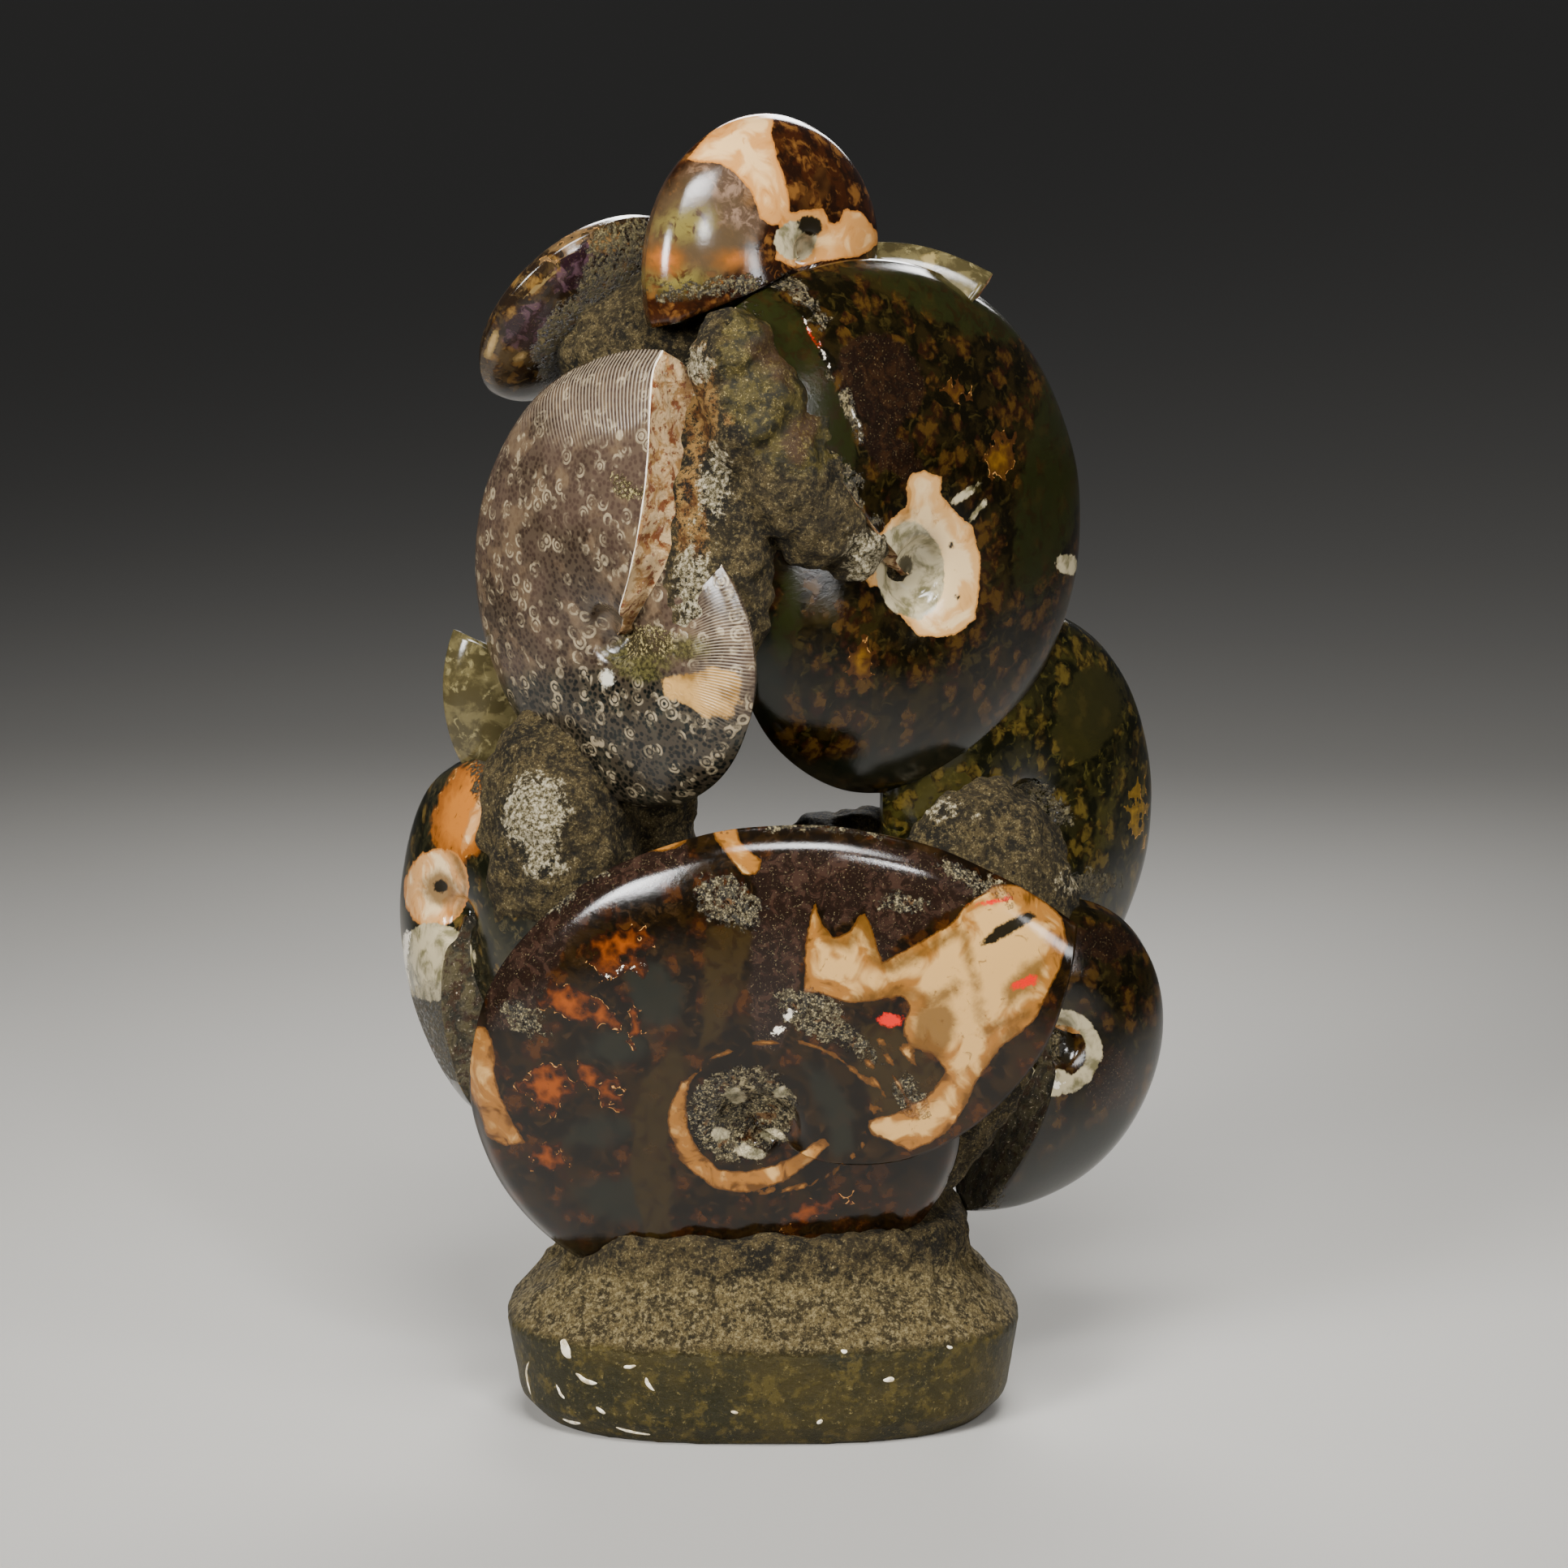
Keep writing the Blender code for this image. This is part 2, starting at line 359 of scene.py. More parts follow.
# %% Colour and node helpers
GAMMA_KNEE, GAMMA_SLOPE, GAMMA_OFFSET, GAMMA_POWER = 0.04045, 12.92, 0.055, 2.4
MIX_GROUND, MIX_COLOUR = 6, 7


def tone(code):
    """Linear colour of an sRGB hex value."""
    parts = [int(code[place : place + 2], 16) / 255 for place in (1, 3, 5)]
    linear = [
        part / GAMMA_SLOPE
        if part < GAMMA_KNEE
        else ((part + GAMMA_OFFSET) / (1 + GAMMA_OFFSET)) ** GAMMA_POWER
        for part in parts
    ]
    return (*linear, 1.0)


def fill(made, inputs):
    """Fills a node's inputs with values or other nodes' outputs."""
    for name, value in inputs.items():
        if isinstance(value, bpy.types.NodeSocket):
            made.id_data.links.new(value, made.inputs[name])
        else:
            made.inputs[name].default_value = value


def node(tree, kind, inputs, **settings):
    """Adds a node with its settings and its inputs."""
    made = tree.nodes.new(kind)
    for name, value in settings.items():
        setattr(made, name, value)
    fill(made, inputs)
    return made


def new_finish(name):
    """An empty material with its shader and the coordinates that its patterns read, in metres."""
    material = bpy.data.materials.new(name)
    material.use_nodes = True
    tree = material.node_tree
    where = node(tree, "ShaderNodeTexCoord", {}).outputs["Object"]
    return material, tree.nodes["Principled BSDF"], where


def grain(where, size, detail=3.0, roughness=0.55, distortion=0.0):
    """Cloudy variation with features of a size in mm."""
    inputs = {"Vector": where, "Scale": 1 / (size * MM), "Detail": detail}
    inputs |= {"Roughness": roughness, "Distortion": distortion}
    return node(where.id_data, "ShaderNodeTexNoise", inputs).outputs["Fac"]


def cells(where, size, randomness=1.0):
    """Round cells about scattered points, of a size in mm: distance to the point, and a colour."""
    inputs = {"Vector": where, "Scale": 1 / (size * MM), "Randomness": randomness}
    return node(where.id_data, "ShaderNodeTexVoronoi", inputs).outputs


def between(value, low, high):
    """0 at low, 1 at high and smooth between them."""
    inputs = {"Value": value, "From Min": low, "From Max": high}
    made = node(value.id_data, "ShaderNodeMapRange", inputs, interpolation_type="SMOOTHSTEP")
    return made.outputs["Result"]


def work_out(operation, first, *others):
    """One sum with the values as its inputs."""
    inputs = dict(enumerate((first, *others)))
    return node(first.id_data, "ShaderNodeMath", inputs, operation=operation).outputs[0]


def scaled(value, share, rest=0.0):
    """A value times a share or another value, and the rest added."""
    return work_out("MULTIPLY_ADD", value, share, rest)


def frayed_depth(mark, *frays):
    """A mark's depth in mm, pushed about by patterns that each may move its edge by some mm."""
    tree = frays[0][0].id_data
    depth = node(tree, "ShaderNodeAttribute", {}, attribute_name=mark).outputs["Fac"]
    for pattern, reach in frays:
        depth = work_out("SUBTRACT", scaled(pattern, 2 * reach, depth), reach)
    return depth


def frayed(mark, edge, *frays):
    """Where a mark lies, with a frayed edge that is soft over a width in mm."""
    return between(frayed_depth(mark, *frays), -edge, edge)


def laid_over(ground, *layers):
    """Colours laid one over the other, each where its mask is 1."""
    for mask, colour in layers:
        pair = {MIX_GROUND: ground, MIX_COLOUR: colour}
        pair = {slot: tone(one) if isinstance(one, str) else one for slot, one in pair.items()}
        ground = node(mask.id_data, "ShaderNodeMix", {0: mask, **pair}, data_type="RGBA").outputs[2]
    return ground


def two_tone(dark, light, pattern, low, high):
    """A dark colour that turns to a light one between two values of a pattern."""
    return laid_over(dark, (between(pattern, low, high), light))


# %% [markdown]
# ## Polished calcite with suture lobes
#
# Where an ammonite's chamber walls met its shell, they were crumpled like a leaf's edge. Polishing
# the shell away shows those sutures as amber lobes in dark calcite. Here each lobe is a cell round
# a scattered point: noise pushes the cells about, smaller cells scallop their edges, and a random
# value for each decides which ones show. The large amber frills are marks with the same scallops.
#
# Polished calcite bends light like glass and is smooth, so it mirrors the soft boxes, and only the
# crust that was left on it is rough. In all these finishes, the two numbers after a pattern are its
# values where a colour starts to show and where it is full.

# %% Calcite finish
Calcite = namedtuple(
    "Calcite",
    "name deep mid haze lobe lobe_dark lobes nacre_rim nacre cream amber amber_dark smoke plum "
    "plum_mid olive crust_dark crust_mid crust_light nacre_stain soft",
    defaults=("#5a3c14", 0.1),
)
STONE_IOR = 1.49
CLOUD_SIZE, MOTTLE_SIZE, BLOT_SIZE, FINE_SIZE, DUST_SIZE = 15, 4.5, 2.6, 1.0, 0.45
LOBE_SIZE, LOBE_PUSH_SIZE, LOBE_PUSH = 4.8, 5, 2.0
SCALLOP_SIZE, FRILL_SIZE, SWIRL_SIZE = 1.5, 2.2, 7
FRILLED, UNFRILLED, FRILLED_BELOW, LINED_BELOW = 1.8, 0.4, 0.3, 1


def wandering(where, size, reach):
    """Coordinates pushed about by noise of a size, by a reach, both in mm."""
    tree, reach = where.id_data, reach * MM
    inputs = {"Vector": where, "Scale": 1 / (size * MM), "Detail": 2.0}
    push = node(tree, "ShaderNodeTexNoise", inputs).outputs["Color"]
    inputs = {0: push, 1: (2 * reach,) * 3, 2: where}
    pushed = node(tree, "ShaderNodeVectorMath", inputs, operation="MULTIPLY_ADD").outputs[0]
    inputs = {0: pushed, 1: (reach,) * 3}
    return node(tree, "ShaderNodeVectorMath", inputs, operation="SUBTRACT").outputs[0]


def suture_lobes(look, where, clouds, blots):
    """Where the small amber lobes lie, and their colour."""
    lobe = cells(wandering(where, LOBE_PUSH_SIZE, LOBE_PUSH), LOBE_SIZE)
    chance = node(where.id_data, "ShaderNodeSeparateXYZ", {0: lobe["Color"]}).outputs[0]
    distance = scaled(cells(where, SCALLOP_SIZE)["Distance"], 0.34, lobe["Distance"])
    crowd = scaled(clouds, 1.2, look.lobes - 0.6)
    shown = between(work_out("SUBTRACT", crowd, chance), -0.06, 0.06)
    colour = two_tone(look.lobe_dark, look.lobe, scaled(distance, -0.5, blots), 0.10, 0.40)
    return scaled(between(distance, 0.78, 0.56), shown), colour


def amber_frills(look, where, mottle, blots):
    """The layers of the large amber marks: glowing calcite, and a pale line along a lobed edge."""
    lobed = FRILLED if look.soft < FRILLED_BELOW else UNFRILLED
    depth = frayed_depth("amber", (mottle, 1.2), (cells(where, FRILL_SIZE)["Distance"], lobed))
    body = scaled(between(depth, -look.soft, look.soft), between(blots, 0.20, 0.40))
    glow = two_tone(look.amber_dark, look.amber, scaled(blots, 4.0, depth), 2.0, 6.0)
    if look.soft >= LINED_BELOW:
        return [(body, glow)]
    line = scaled(between(depth, -0.05, 0.03), between(depth, 0.28, 0.12))
    return [(body, glow), (scaled(line, between(blots, 0.53, 0.60)), "#b98244")]


def nacre_patches(look, where, mottle, blots, fine):
    """Where the nacre lies, and its colour: a dark rim, cream swirls and stains."""
    depth = frayed_depth("nacre", (mottle, 0.8), (fine, 0.35))
    inner = scaled(grain(where, SWIRL_SIZE, 3, 0.5, 1.2), 12.0, scaled(depth, 0.7))
    stained = frayed("stain", 1.3, (mottle, 1.6), (fine, 0.6))
    colour = laid_over(
        look.nacre_rim,
        (between(inner, 4.6, 6.6), look.nacre),
        (between(inner, 7.0, 9.6), look.cream),
        (scaled(between(blots, 0.40, 0.30), 0.6), look.nacre_rim),
        (scaled(stained, 0.85), look.nacre_stain),
        (between(depth, 0.5, 0.15), look.nacre_rim),
    )
    return between(depth, -0.08, 0.08), colour


def stone_surface(shader, colour, rough, relief, height, strength=1.0):
    """Gives a stone its colour, its roughness and a relief of a height in mm."""
    inputs = {"Height": relief, "Distance": height * MM, "Strength": strength}
    bump = node(shader.id_data, "ShaderNodeBump", inputs).outputs[0]
    fill(shader, {"Base Color": colour, "Roughness": rough, "IOR": STONE_IOR, "Normal": bump})


def calcite(look):
    """The material of one polished shell."""
    material, shader, where = new_finish(look.name)
    clouds, mottle = grain(where, CLOUD_SIZE), grain(where, MOTTLE_SIZE, 4, 0.6, 0.4)
    blots = grain(where, BLOT_SIZE, 5, 0.62, 0.8)
    fine, dust = grain(where, FINE_SIZE, 5, 0.72), grain(where, DUST_SIZE, 3, 0.7)
    # Smoky dark patches: on the right cheek, painted shade beside the hollow between the shells; on the
    # crown, a painted blue-grey sheen.
    smoke = frayed("smoke", 1.4 + look.soft, (clouds, 3.0), (mottle, 2.6))
    plum = frayed("plum", 0.5 + look.soft, (mottle, 3.0), (fine, 1.0))
    olive = frayed("olive", 0.6 + look.soft, (mottle, 2.2), (fine, 0.8))
    pearl = frayed("pearl", 0.2, (mottle, 1.0), (fine, 0.5))
    grit = scaled(frayed("crust", 0.2, (mottle, 3.4), (fine, 2.6)), between(fine, 0.42, 0.50))
    plum_colour = laid_over(
        look.plum,
        (between(blots, 0.46, 0.62), look.plum_mid),
        (scaled(between(dust, 0.60, 0.70), 0.4), look.crust_light),
    )
    grit_colour = laid_over(
        look.crust_dark,
        (between(blots, 0.42, 0.58), look.crust_mid),
        (between(dust, 0.50, 0.62), look.crust_light),
        (between(mottle, 0.62, 0.68), look.crust_light),
        (between(mottle, 0.40, 0.34), look.nacre_stain),
    )
    colour = laid_over(
        look.deep,
        (between(mottle, 0.44, 0.60), look.mid),
        (between(blots, 0.54, 0.66), look.haze),
        (scaled(between(clouds, 0.56, 0.66), 0.6), look.haze),
        suture_lobes(look, where, clouds, blots),
        (scaled(smoke, 0.85), look.smoke),
        (scaled(plum, 0.92), plum_colour),
        (scaled(olive, 0.85), two_tone(look.olive, look.mid, blots, 0.48, 0.64)),
        *amber_frills(look, where, mottle, blots),
        (grit, grit_colour),
        nacre_patches(look, where, mottle, blots, fine),
        (pearl, two_tone("#6b6446", "#b5a886", mottle, 0.35, 0.6)),
        # Painted red glints on the polished calcite.
        (frayed("flash", 0.3, (mottle, 1.0), (fine, 1.0)), "#cc1404"),
        # Dark cracks, and painted shade in the pits of the navels.
        (frayed("dark", 0.3, (fine, 0.8)), "#1d180e"),
        # Painted highlights and glints: small white spots and streaks laid over all the rest.
        (frayed("bright", 0.12, (fine, 1.6)), "#efe6d4"),
    )
    rough = scaled(grit, 0.4, scaled(blots, 0.16, 0.05))
    stone_surface(shader, colour, rough, scaled(fine, scaled(grit, 1.0, 0.03)), 0.9)
    return material


# %% [markdown]
# ## Silica rings
#
# The left cheek shell was partly turned to silica, which grew as crowds of small pale rings, called
# beekite. Points scattered through space, cut by the surface, give circles of many sizes, and the
# distance to the nearest point draws a ring in each. The growth ribs follow the growth map that the
# shell was drawn with. Real ribs and ring walls are finer than a pixel here, so both are drawn as
# coarse as they need to show.

# %% Ringed finish
RING_CELL, RING_SCATTER = 3.7, 0.9
RING_BANDS = ((0.42, 0.50), (0.22, 0.28))
NET_CELL = 1.1
RIB_PITCH, RIB_WAVES, RIB_SWAY = 1.5, 95.0, 4
LIP_WIDTH = 1.3


def silica_rings(where, fine):
    """Broken double rings round scattered points."""
    distance = scaled(fine, 0.16, cells(where, RING_CELL, RING_SCATTER)["Distance"])
    bands = [
        scaled(between(distance, low - 0.05, low), between(distance, high + 0.06, high))
        for low, high in RING_BANDS
    ]
    return work_out("MAXIMUM", *bands)


def growth_map(tree):
    """Behind the mouth, out from the navel and height on the flank: the shell's own coordinates."""
    grown = node(tree, "ShaderNodeAttribute", {}, attribute_name="growth").outputs["Vector"]
    return node(tree, "ShaderNodeSeparateXYZ", {0: grown}).outputs


def ringed_silica(name):
    """The grey purple shell skin with rings, growth ribs, a white lip and a tan navel."""
    material, shader, where = new_finish(name)
    clouds, mottle = grain(where, 22), grain(where, 6, 4)
    fine, broken = grain(where, 0.9, 5, 0.7), grain(where, 2.4, 3)
    rings = scaled(silica_rings(where, fine), between(mottle, 0.36, 0.56))
    rings = scaled(rings, between(broken, 0.40, 0.58))
    net = between(cells(where, NET_CELL)["Distance"], 0.30, 0.62)
    behind, reach, _ = growth_map(where.id_data)
    sway = scaled(work_out("SINE", scaled(reach, RIB_WAVES)), RIB_SWAY * MM, behind)
    ribs = work_out("SINE", scaled(sway, 2 * math.pi / (RIB_PITCH * MM)))
    ribs = scaled(between(ribs, -0.4, 0.9), frayed("ribs", 3.0, (clouds, 4.0)))
    lip = scaled(mottle, 1.6 * MM, behind)
    low = frayed("smoke", 3.0, (clouds, 5.0), (mottle, 4.0))
    olive = frayed("olive", 1.2, (mottle, 4.0), (fine, 1.0))
    crust = frayed("crust", 0.3, (mottle, 3.0), (fine, 1.6))
    cream = frayed("nacre", 0.4, (mottle, 3.0), (fine, 0.8))
    colour = laid_over(
        "#2a1f17",
        (between(clouds, 0.40, 0.62), "#43342b"),
        (between(mottle, 0.48, 0.66), "#5e4c39"),
        # The near black lower zone: partly the shell's colour, partly painted shade over the hollow
        # between the shells.
        (low, two_tone("#060907", "#161a15", mottle, 0.48, 0.66)),
        (scaled(net, 0.16), "#7f6e57"),
        (scaled(rings, 0.72), "#a59577"),
        (scaled(olive, 0.8), two_tone("#23220e", "#5e5830", fine, 0.4, 0.65)),
        (scaled(crust, between(fine, 0.40, 0.50)), two_tone("#2a2312", "#94865c", fine, 0.50, 0.62)),
        (cream, two_tone("#7d5a26", "#b98f50", mottle, 0.35, 0.6)),
        (scaled(ribs, 0.45), "#bcab92"),
        (between(lip, (LIP_WIDTH + 0.3) * MM, LIP_WIDTH * MM), "#f3e6cf"),
        # A painted highlight: a pale spot by the navel.
        (scaled(frayed("bright", 0.5, (fine, 1.6)), 0.8), "#d9d3bf"),
    )
    relief = scaled(ribs, 0.7, scaled(rings, 0.4, scaled(fine, 0.25)))
    stone_surface(shader, colour, scaled(mottle, 0.2, 0.10), relief, 0.16, 0.9)
    return material


# %% [markdown]
# ## Sandstone and crumbling calcite
#
# The rock between the shells is glauconite sandstone: dark olive grains, tan cement and cream crumbs
# of shell. The foot was cut from it, and its wall was ground smooth, which darkens it. Loose calcite
# fills the mouths of the shells, orange to cream.

# %% Rock finishes
GROUND_WALL_TOP = 20.5
NECK_HEIGHT = 34.0
DULL_SPECULAR = 0.25


def sandstone(name):
    """Rough rock, smoother and greener on the foot's wall and where it was polished with a shell."""
    material, shader, where = new_finish(name)
    clouds, lumps = grain(where, 16, 3), grain(where, 3.2, 4, 0.65)
    fine, sand = grain(where, 1.0, 6, 0.8), grain(where, 0.45, 3, 0.8)
    height = node(where.id_data, "ShaderNodeSeparateXYZ", {0: where}).outputs[2]
    height = scaled(lumps, -3 * MM, height)
    wall = between(height, (GROUND_WALL_TOP + 0.6) * MM, (GROUND_WALL_TOP - 1.4) * MM)
    slope = between(height, (NECK_HEIGHT + 3) * MM, (NECK_HEIGHT - 3) * MM)
    pale = frayed("nacre", 0.6, (lumps, 6.0), (fine, 2.5))
    amber = frayed("amber", 0.6, (lumps, 4.0), (fine, 1.5))
    skin = frayed("olive", 1.5, (clouds, 4.0), (lumps, 3.0))
    crumbs = scaled(between(sand, 0.58, 0.68), between(lumps, 0.44, 0.6))
    rough_stone = laid_over(
        "#201b0e",
        (between(clouds, 0.38, 0.62), "#3a301a"),
        (between(lumps, 0.44, 0.60), "#57492a"),
        (between(fine, 0.52, 0.64), "#7d6d45"),
        (crumbs, "#bba97c"),
        (between(fine, 0.46, 0.38), "#15110a"),
        (scaled(between(sand, 0.44, 0.36), 0.7), "#0f0c06"),
        (scaled(amber, between(fine, 0.42, 0.52)), two_tone("#5e3812", "#a47d44", lumps, 0.4, 0.6)),
        (scaled(pale, between(fine, 0.38, 0.48)), two_tone("#6f6342", "#d8cbaa", fine, 0.46, 0.60)),
    )
    skin_stone = laid_over(
        "#1b1806",
        (between(lumps, 0.42, 0.58), "#3d340f"),
        (between(clouds, 0.5, 0.62), "#33210c"),
        (between(fine, 0.54, 0.66), "#6b5d2c"),
        (crumbs, "#a8966a"),
        (between(fine, 0.42, 0.34), "#0f0c04"),
    )
    slope_stone = laid_over(
        "#40361d",
        (between(lumps, 0.42, 0.58), "#6e5e38"),
        (between(fine, 0.50, 0.60), "#9d8c62"),
        (between(fine, 0.46, 0.38), "#241e0c"),
        (between(sand, 0.42, 0.34), "#1c1709"),
        (crumbs, "#b8a77c"),
    )
    wall_stone = laid_over(
        "#1f1c04",
        (between(clouds, 0.4, 0.62), "#322a08"),
        (between(lumps, 0.50, 0.64), "#463b12"),
        (between(fine, 0.56, 0.68), "#73653a"),
        (between(fine, 0.42, 0.34), "#171402"),
    )
    colour = laid_over(rough_stone, (skin, skin_stone), (slope, slope_stone), (wall, wall_stone))
    smoother = work_out("MAXIMUM", wall, skin)
    relief = scaled(work_out("ADD", fine, lumps), scaled(smoother, -0.8, 1.0))
    stone_surface(shader, colour, scaled(smoother, -0.35, 0.8), relief, 1.8)
    fill(shader, {"Specular IOR Level": DULL_SPECULAR})
    return material


def crumbling_calcite(name, dark, light, rust):
    """Loose crystals in a shell's mouth."""
    material, shader, where = new_finish(name)
    lumps = grain(where, 4, 4, 0.65, 0.8)
    streaks, fine = grain(where, 2, 4, 0.6), grain(where, 0.8, 5, 0.75)
    colour = laid_over(
        dark,
        (between(lumps, 0.42, 0.58), light),
        (between(streaks, 0.48, 0.40), rust),
        (between(fine, 0.58, 0.7), "#ecdabb"),
        (between(fine, 0.38, 0.30), "#2b170a"),
    )
    stone_surface(shader, colour, 0.5, work_out("ADD", lumps, fine), 1.6)
    return material


# %% [markdown]
# ## What is on each shell
#
# The marks are read off the photograph shell by shell. The left part of the belly shell has its
# sutures free, with orange frills. Its right part has a wide band of nacre with two spikes, and a
# ring of nacre round the navel.

# %% Marks of the belly shell
BELLY_MARKS = {
    "nacre": (
        Outline((
            (990, 1223), (992, 1165), (1003, 1106), (1013, 1140), (1028, 1155), (1045, 1148),
            (1064, 1121), (1076, 1150), (1087, 1188), (1125, 1165), (1168, 1140), (1195, 1112),
            (1223, 1091), (1255, 1090), (1280, 1105), (1310, 1130), (1315, 1165), (1305, 1195),
            (1275, 1259), (1245, 1280), (1228, 1296), (1203, 1334), (1185, 1370), (1165, 1398),
            (1122, 1420), (1077, 1397), (1070, 1378), (1105, 1372), (1145, 1350), (1165, 1320),
            (1150, 1300), (1120, 1290), (1112, 1262), (1122, 1242), (1112, 1228), (1051, 1236),
            (1010, 1224),
        )),
        Outline((
            (575, 1264), (600, 1266), (608, 1290), (610, 1330), (625, 1370), (648, 1408),
            (625, 1413), (600, 1400), (580, 1350), (568, 1300),
        )),
        Outline((
            (838, 1330), (826, 1365), (830, 1405), (848, 1440), (880, 1464), (920, 1470),
            (960, 1458), (1000, 1432), (1022, 1410), (1015, 1400), (985, 1420), (955, 1436),
            (920, 1444), (885, 1440), (862, 1420), (848, 1390), (845, 1360), (850, 1335),
        )),
        Outline((
            (882, 1012), (905, 1010), (912, 1035), (925, 1050), (938, 1060), (935, 1078),
            (915, 1078), (900, 1060), (885, 1040), (878, 1025),
        )),
        Patch(951, 1376, 124, 92, -8, 2.5),
        Patch(816, 1033, 33, 16, -12),
        Stroke(4, ((1066, 1296), (1092, 1368))),
        Stroke(3.5, ((1084, 1280), (1122, 1372))),
        Stroke(4, ((1108, 1282), (1146, 1352))),
    ),
    "stain": (
        Stroke(7, ((1008, 1110), (1022, 1158), (1046, 1166), (1064, 1128), (1080, 1180), (1096, 1192))),
        Stroke(6, ((1096, 1195), (1140, 1172), (1180, 1148))),
        Stroke(7, ((1056, 1232), (1110, 1222), (1150, 1236), (1176, 1216))),
        Stroke(4, ((1188, 1150), (1196, 1190), (1208, 1230))),
        Outline(((1130, 1240), (1165, 1232), (1180, 1260), (1160, 1310), (1135, 1330), (1120, 1290))),
        Outline(((1238, 1218), (1262, 1188), (1288, 1180), (1284, 1206), (1262, 1228), (1242, 1236))),
        Stroke(4, ((1200, 1240), (1216, 1270), (1230, 1262), (1268, 1250))),
        Stroke(5, ((1250, 1268), (1218, 1310), (1190, 1356))),
    ),
    "amber": (
        Outline((
            (737, 1195), (745, 1180), (762, 1176), (775, 1185), (790, 1180), (798, 1190),
            (785, 1196), (768, 1192), (755, 1205), (742, 1208),
        )),
        Outline(((770, 1232), (786, 1240), (792, 1262), (780, 1292), (770, 1282), (776, 1258))),
        Outline((
            (632, 1340), (660, 1318), (690, 1312), (704, 1330), (702, 1352), (682, 1372),
            (664, 1364), (650, 1345),
        )),
        Outline((
            (705, 1330), (715, 1314), (735, 1310), (744, 1330), (757, 1335), (770, 1350),
            (762, 1368), (745, 1362), (738, 1347), (722, 1337), (712, 1340),
        )),
        Patch(765, 1163, 40, 20, -14),
        Patch(672, 1426, 22, 16),
        Patch(700, 1235, 36, 20, 20),
        Patch(735, 1250, 30, 14, 25),
        Patch(1000, 1492, 40, 12, -20),
    ),
    "smoke": (
        Patch(805, 1225, 34, 44, -30),
        Patch(740, 1395, 50, 18),
        Patch(760, 1290, 44, 20),
        Patch(770, 1480, 50, 26, 10),
        Outline((
            (990, 1312), (1012, 1318), (1040, 1345), (1056, 1375), (1050, 1416), (1030, 1420),
            (1010, 1380), (1000, 1350),
        )),
    ),
    "olive": (
        Outline((
            (872, 1145), (905, 1132), (925, 1150), (918, 1180), (905, 1240), (880, 1280),
            (862, 1292), (868, 1220), (872, 1180),
        )),
        Outline((
            (833, 1290), (800, 1320), (780, 1380), (775, 1440), (790, 1500), (800, 1530),
            (830, 1520), (826, 1440), (822, 1380), (850, 1310),
        )),
        Outline((
            (1060, 1262), (1100, 1258), (1140, 1300), (1175, 1330), (1160, 1385), (1110, 1392),
            (1076, 1372), (1056, 1320),
        )),
    ),
    "plum": (
        Outline((
            (925, 1060), (1000, 1040), (1090, 1040), (1180, 1060), (1215, 1090), (1160, 1130),
            (1100, 1165), (1085, 1180), (1076, 1150), (1064, 1121), (1028, 1155), (1003, 1106),
            (990, 1170), (985, 1230), (960, 1290), (930, 1290), (925, 1200), (930, 1120),
        )),
        Outline((
            (590, 1180), (640, 1120), (700, 1080), (770, 1040), (830, 1030), (860, 1060),
            (800, 1100), (740, 1120), (700, 1160), (670, 1220), (640, 1270), (600, 1270),
        )),
    ),
    "crust": (
        Patch(898, 1112, 44, 28, 25),
        Patch(1000, 1248, 44, 24, 30),
        Patch(1052, 1284, 34, 12, 40),
        Patch(1120, 1350, 16, 30, -40),
        Patch(950, 1012, 180, 9, 3),
        Patch(1200, 1085, 44, 12, 30),
        Patch(1115, 1112, 20, 12),
        Patch(645, 1258, 30, 16, 30),
        Patch(690, 1105, 50, 9, -35),
        Patch(915, 1372, 66, 58, -10),
    ),
    # Painted red glints on the nacre band.
    "flash": (
        Patch(1096, 1257, 18, 8, 5),
        Patch(1264, 1210, 16, 7, -25),
        Patch(1222, 1112, 20, 4, -10),
    ),
    "dark": (
        Outline(((1205, 1165), (1230, 1140), (1270, 1122), (1277, 1130), (1250, 1148), (1222, 1163))),
    ),
    "pearl": (
        Patch(905, 1350, 14, 9, 20),
        Patch(950, 1398, 16, 9),
        Patch(888, 1398, 11, 9),
        Patch(962, 1345, 10, 7),
        Patch(925, 1420, 18, 8, 10),
    ),
    # Painted highlights: two small white spots on crumbs, and a white glint along the edge of an amber
    # frill.
    "bright": (
        Patch(972, 1250, 9, 5, -40),
        Patch(958, 1270, 8, 5, -30),
        Stroke(1.2, ((738, 1196), (752, 1206), (768, 1190), (786, 1194), (797, 1188))),
    ),
}
print("belly marks", {kind: len(marks) for kind, marks in BELLY_MARKS.items()})

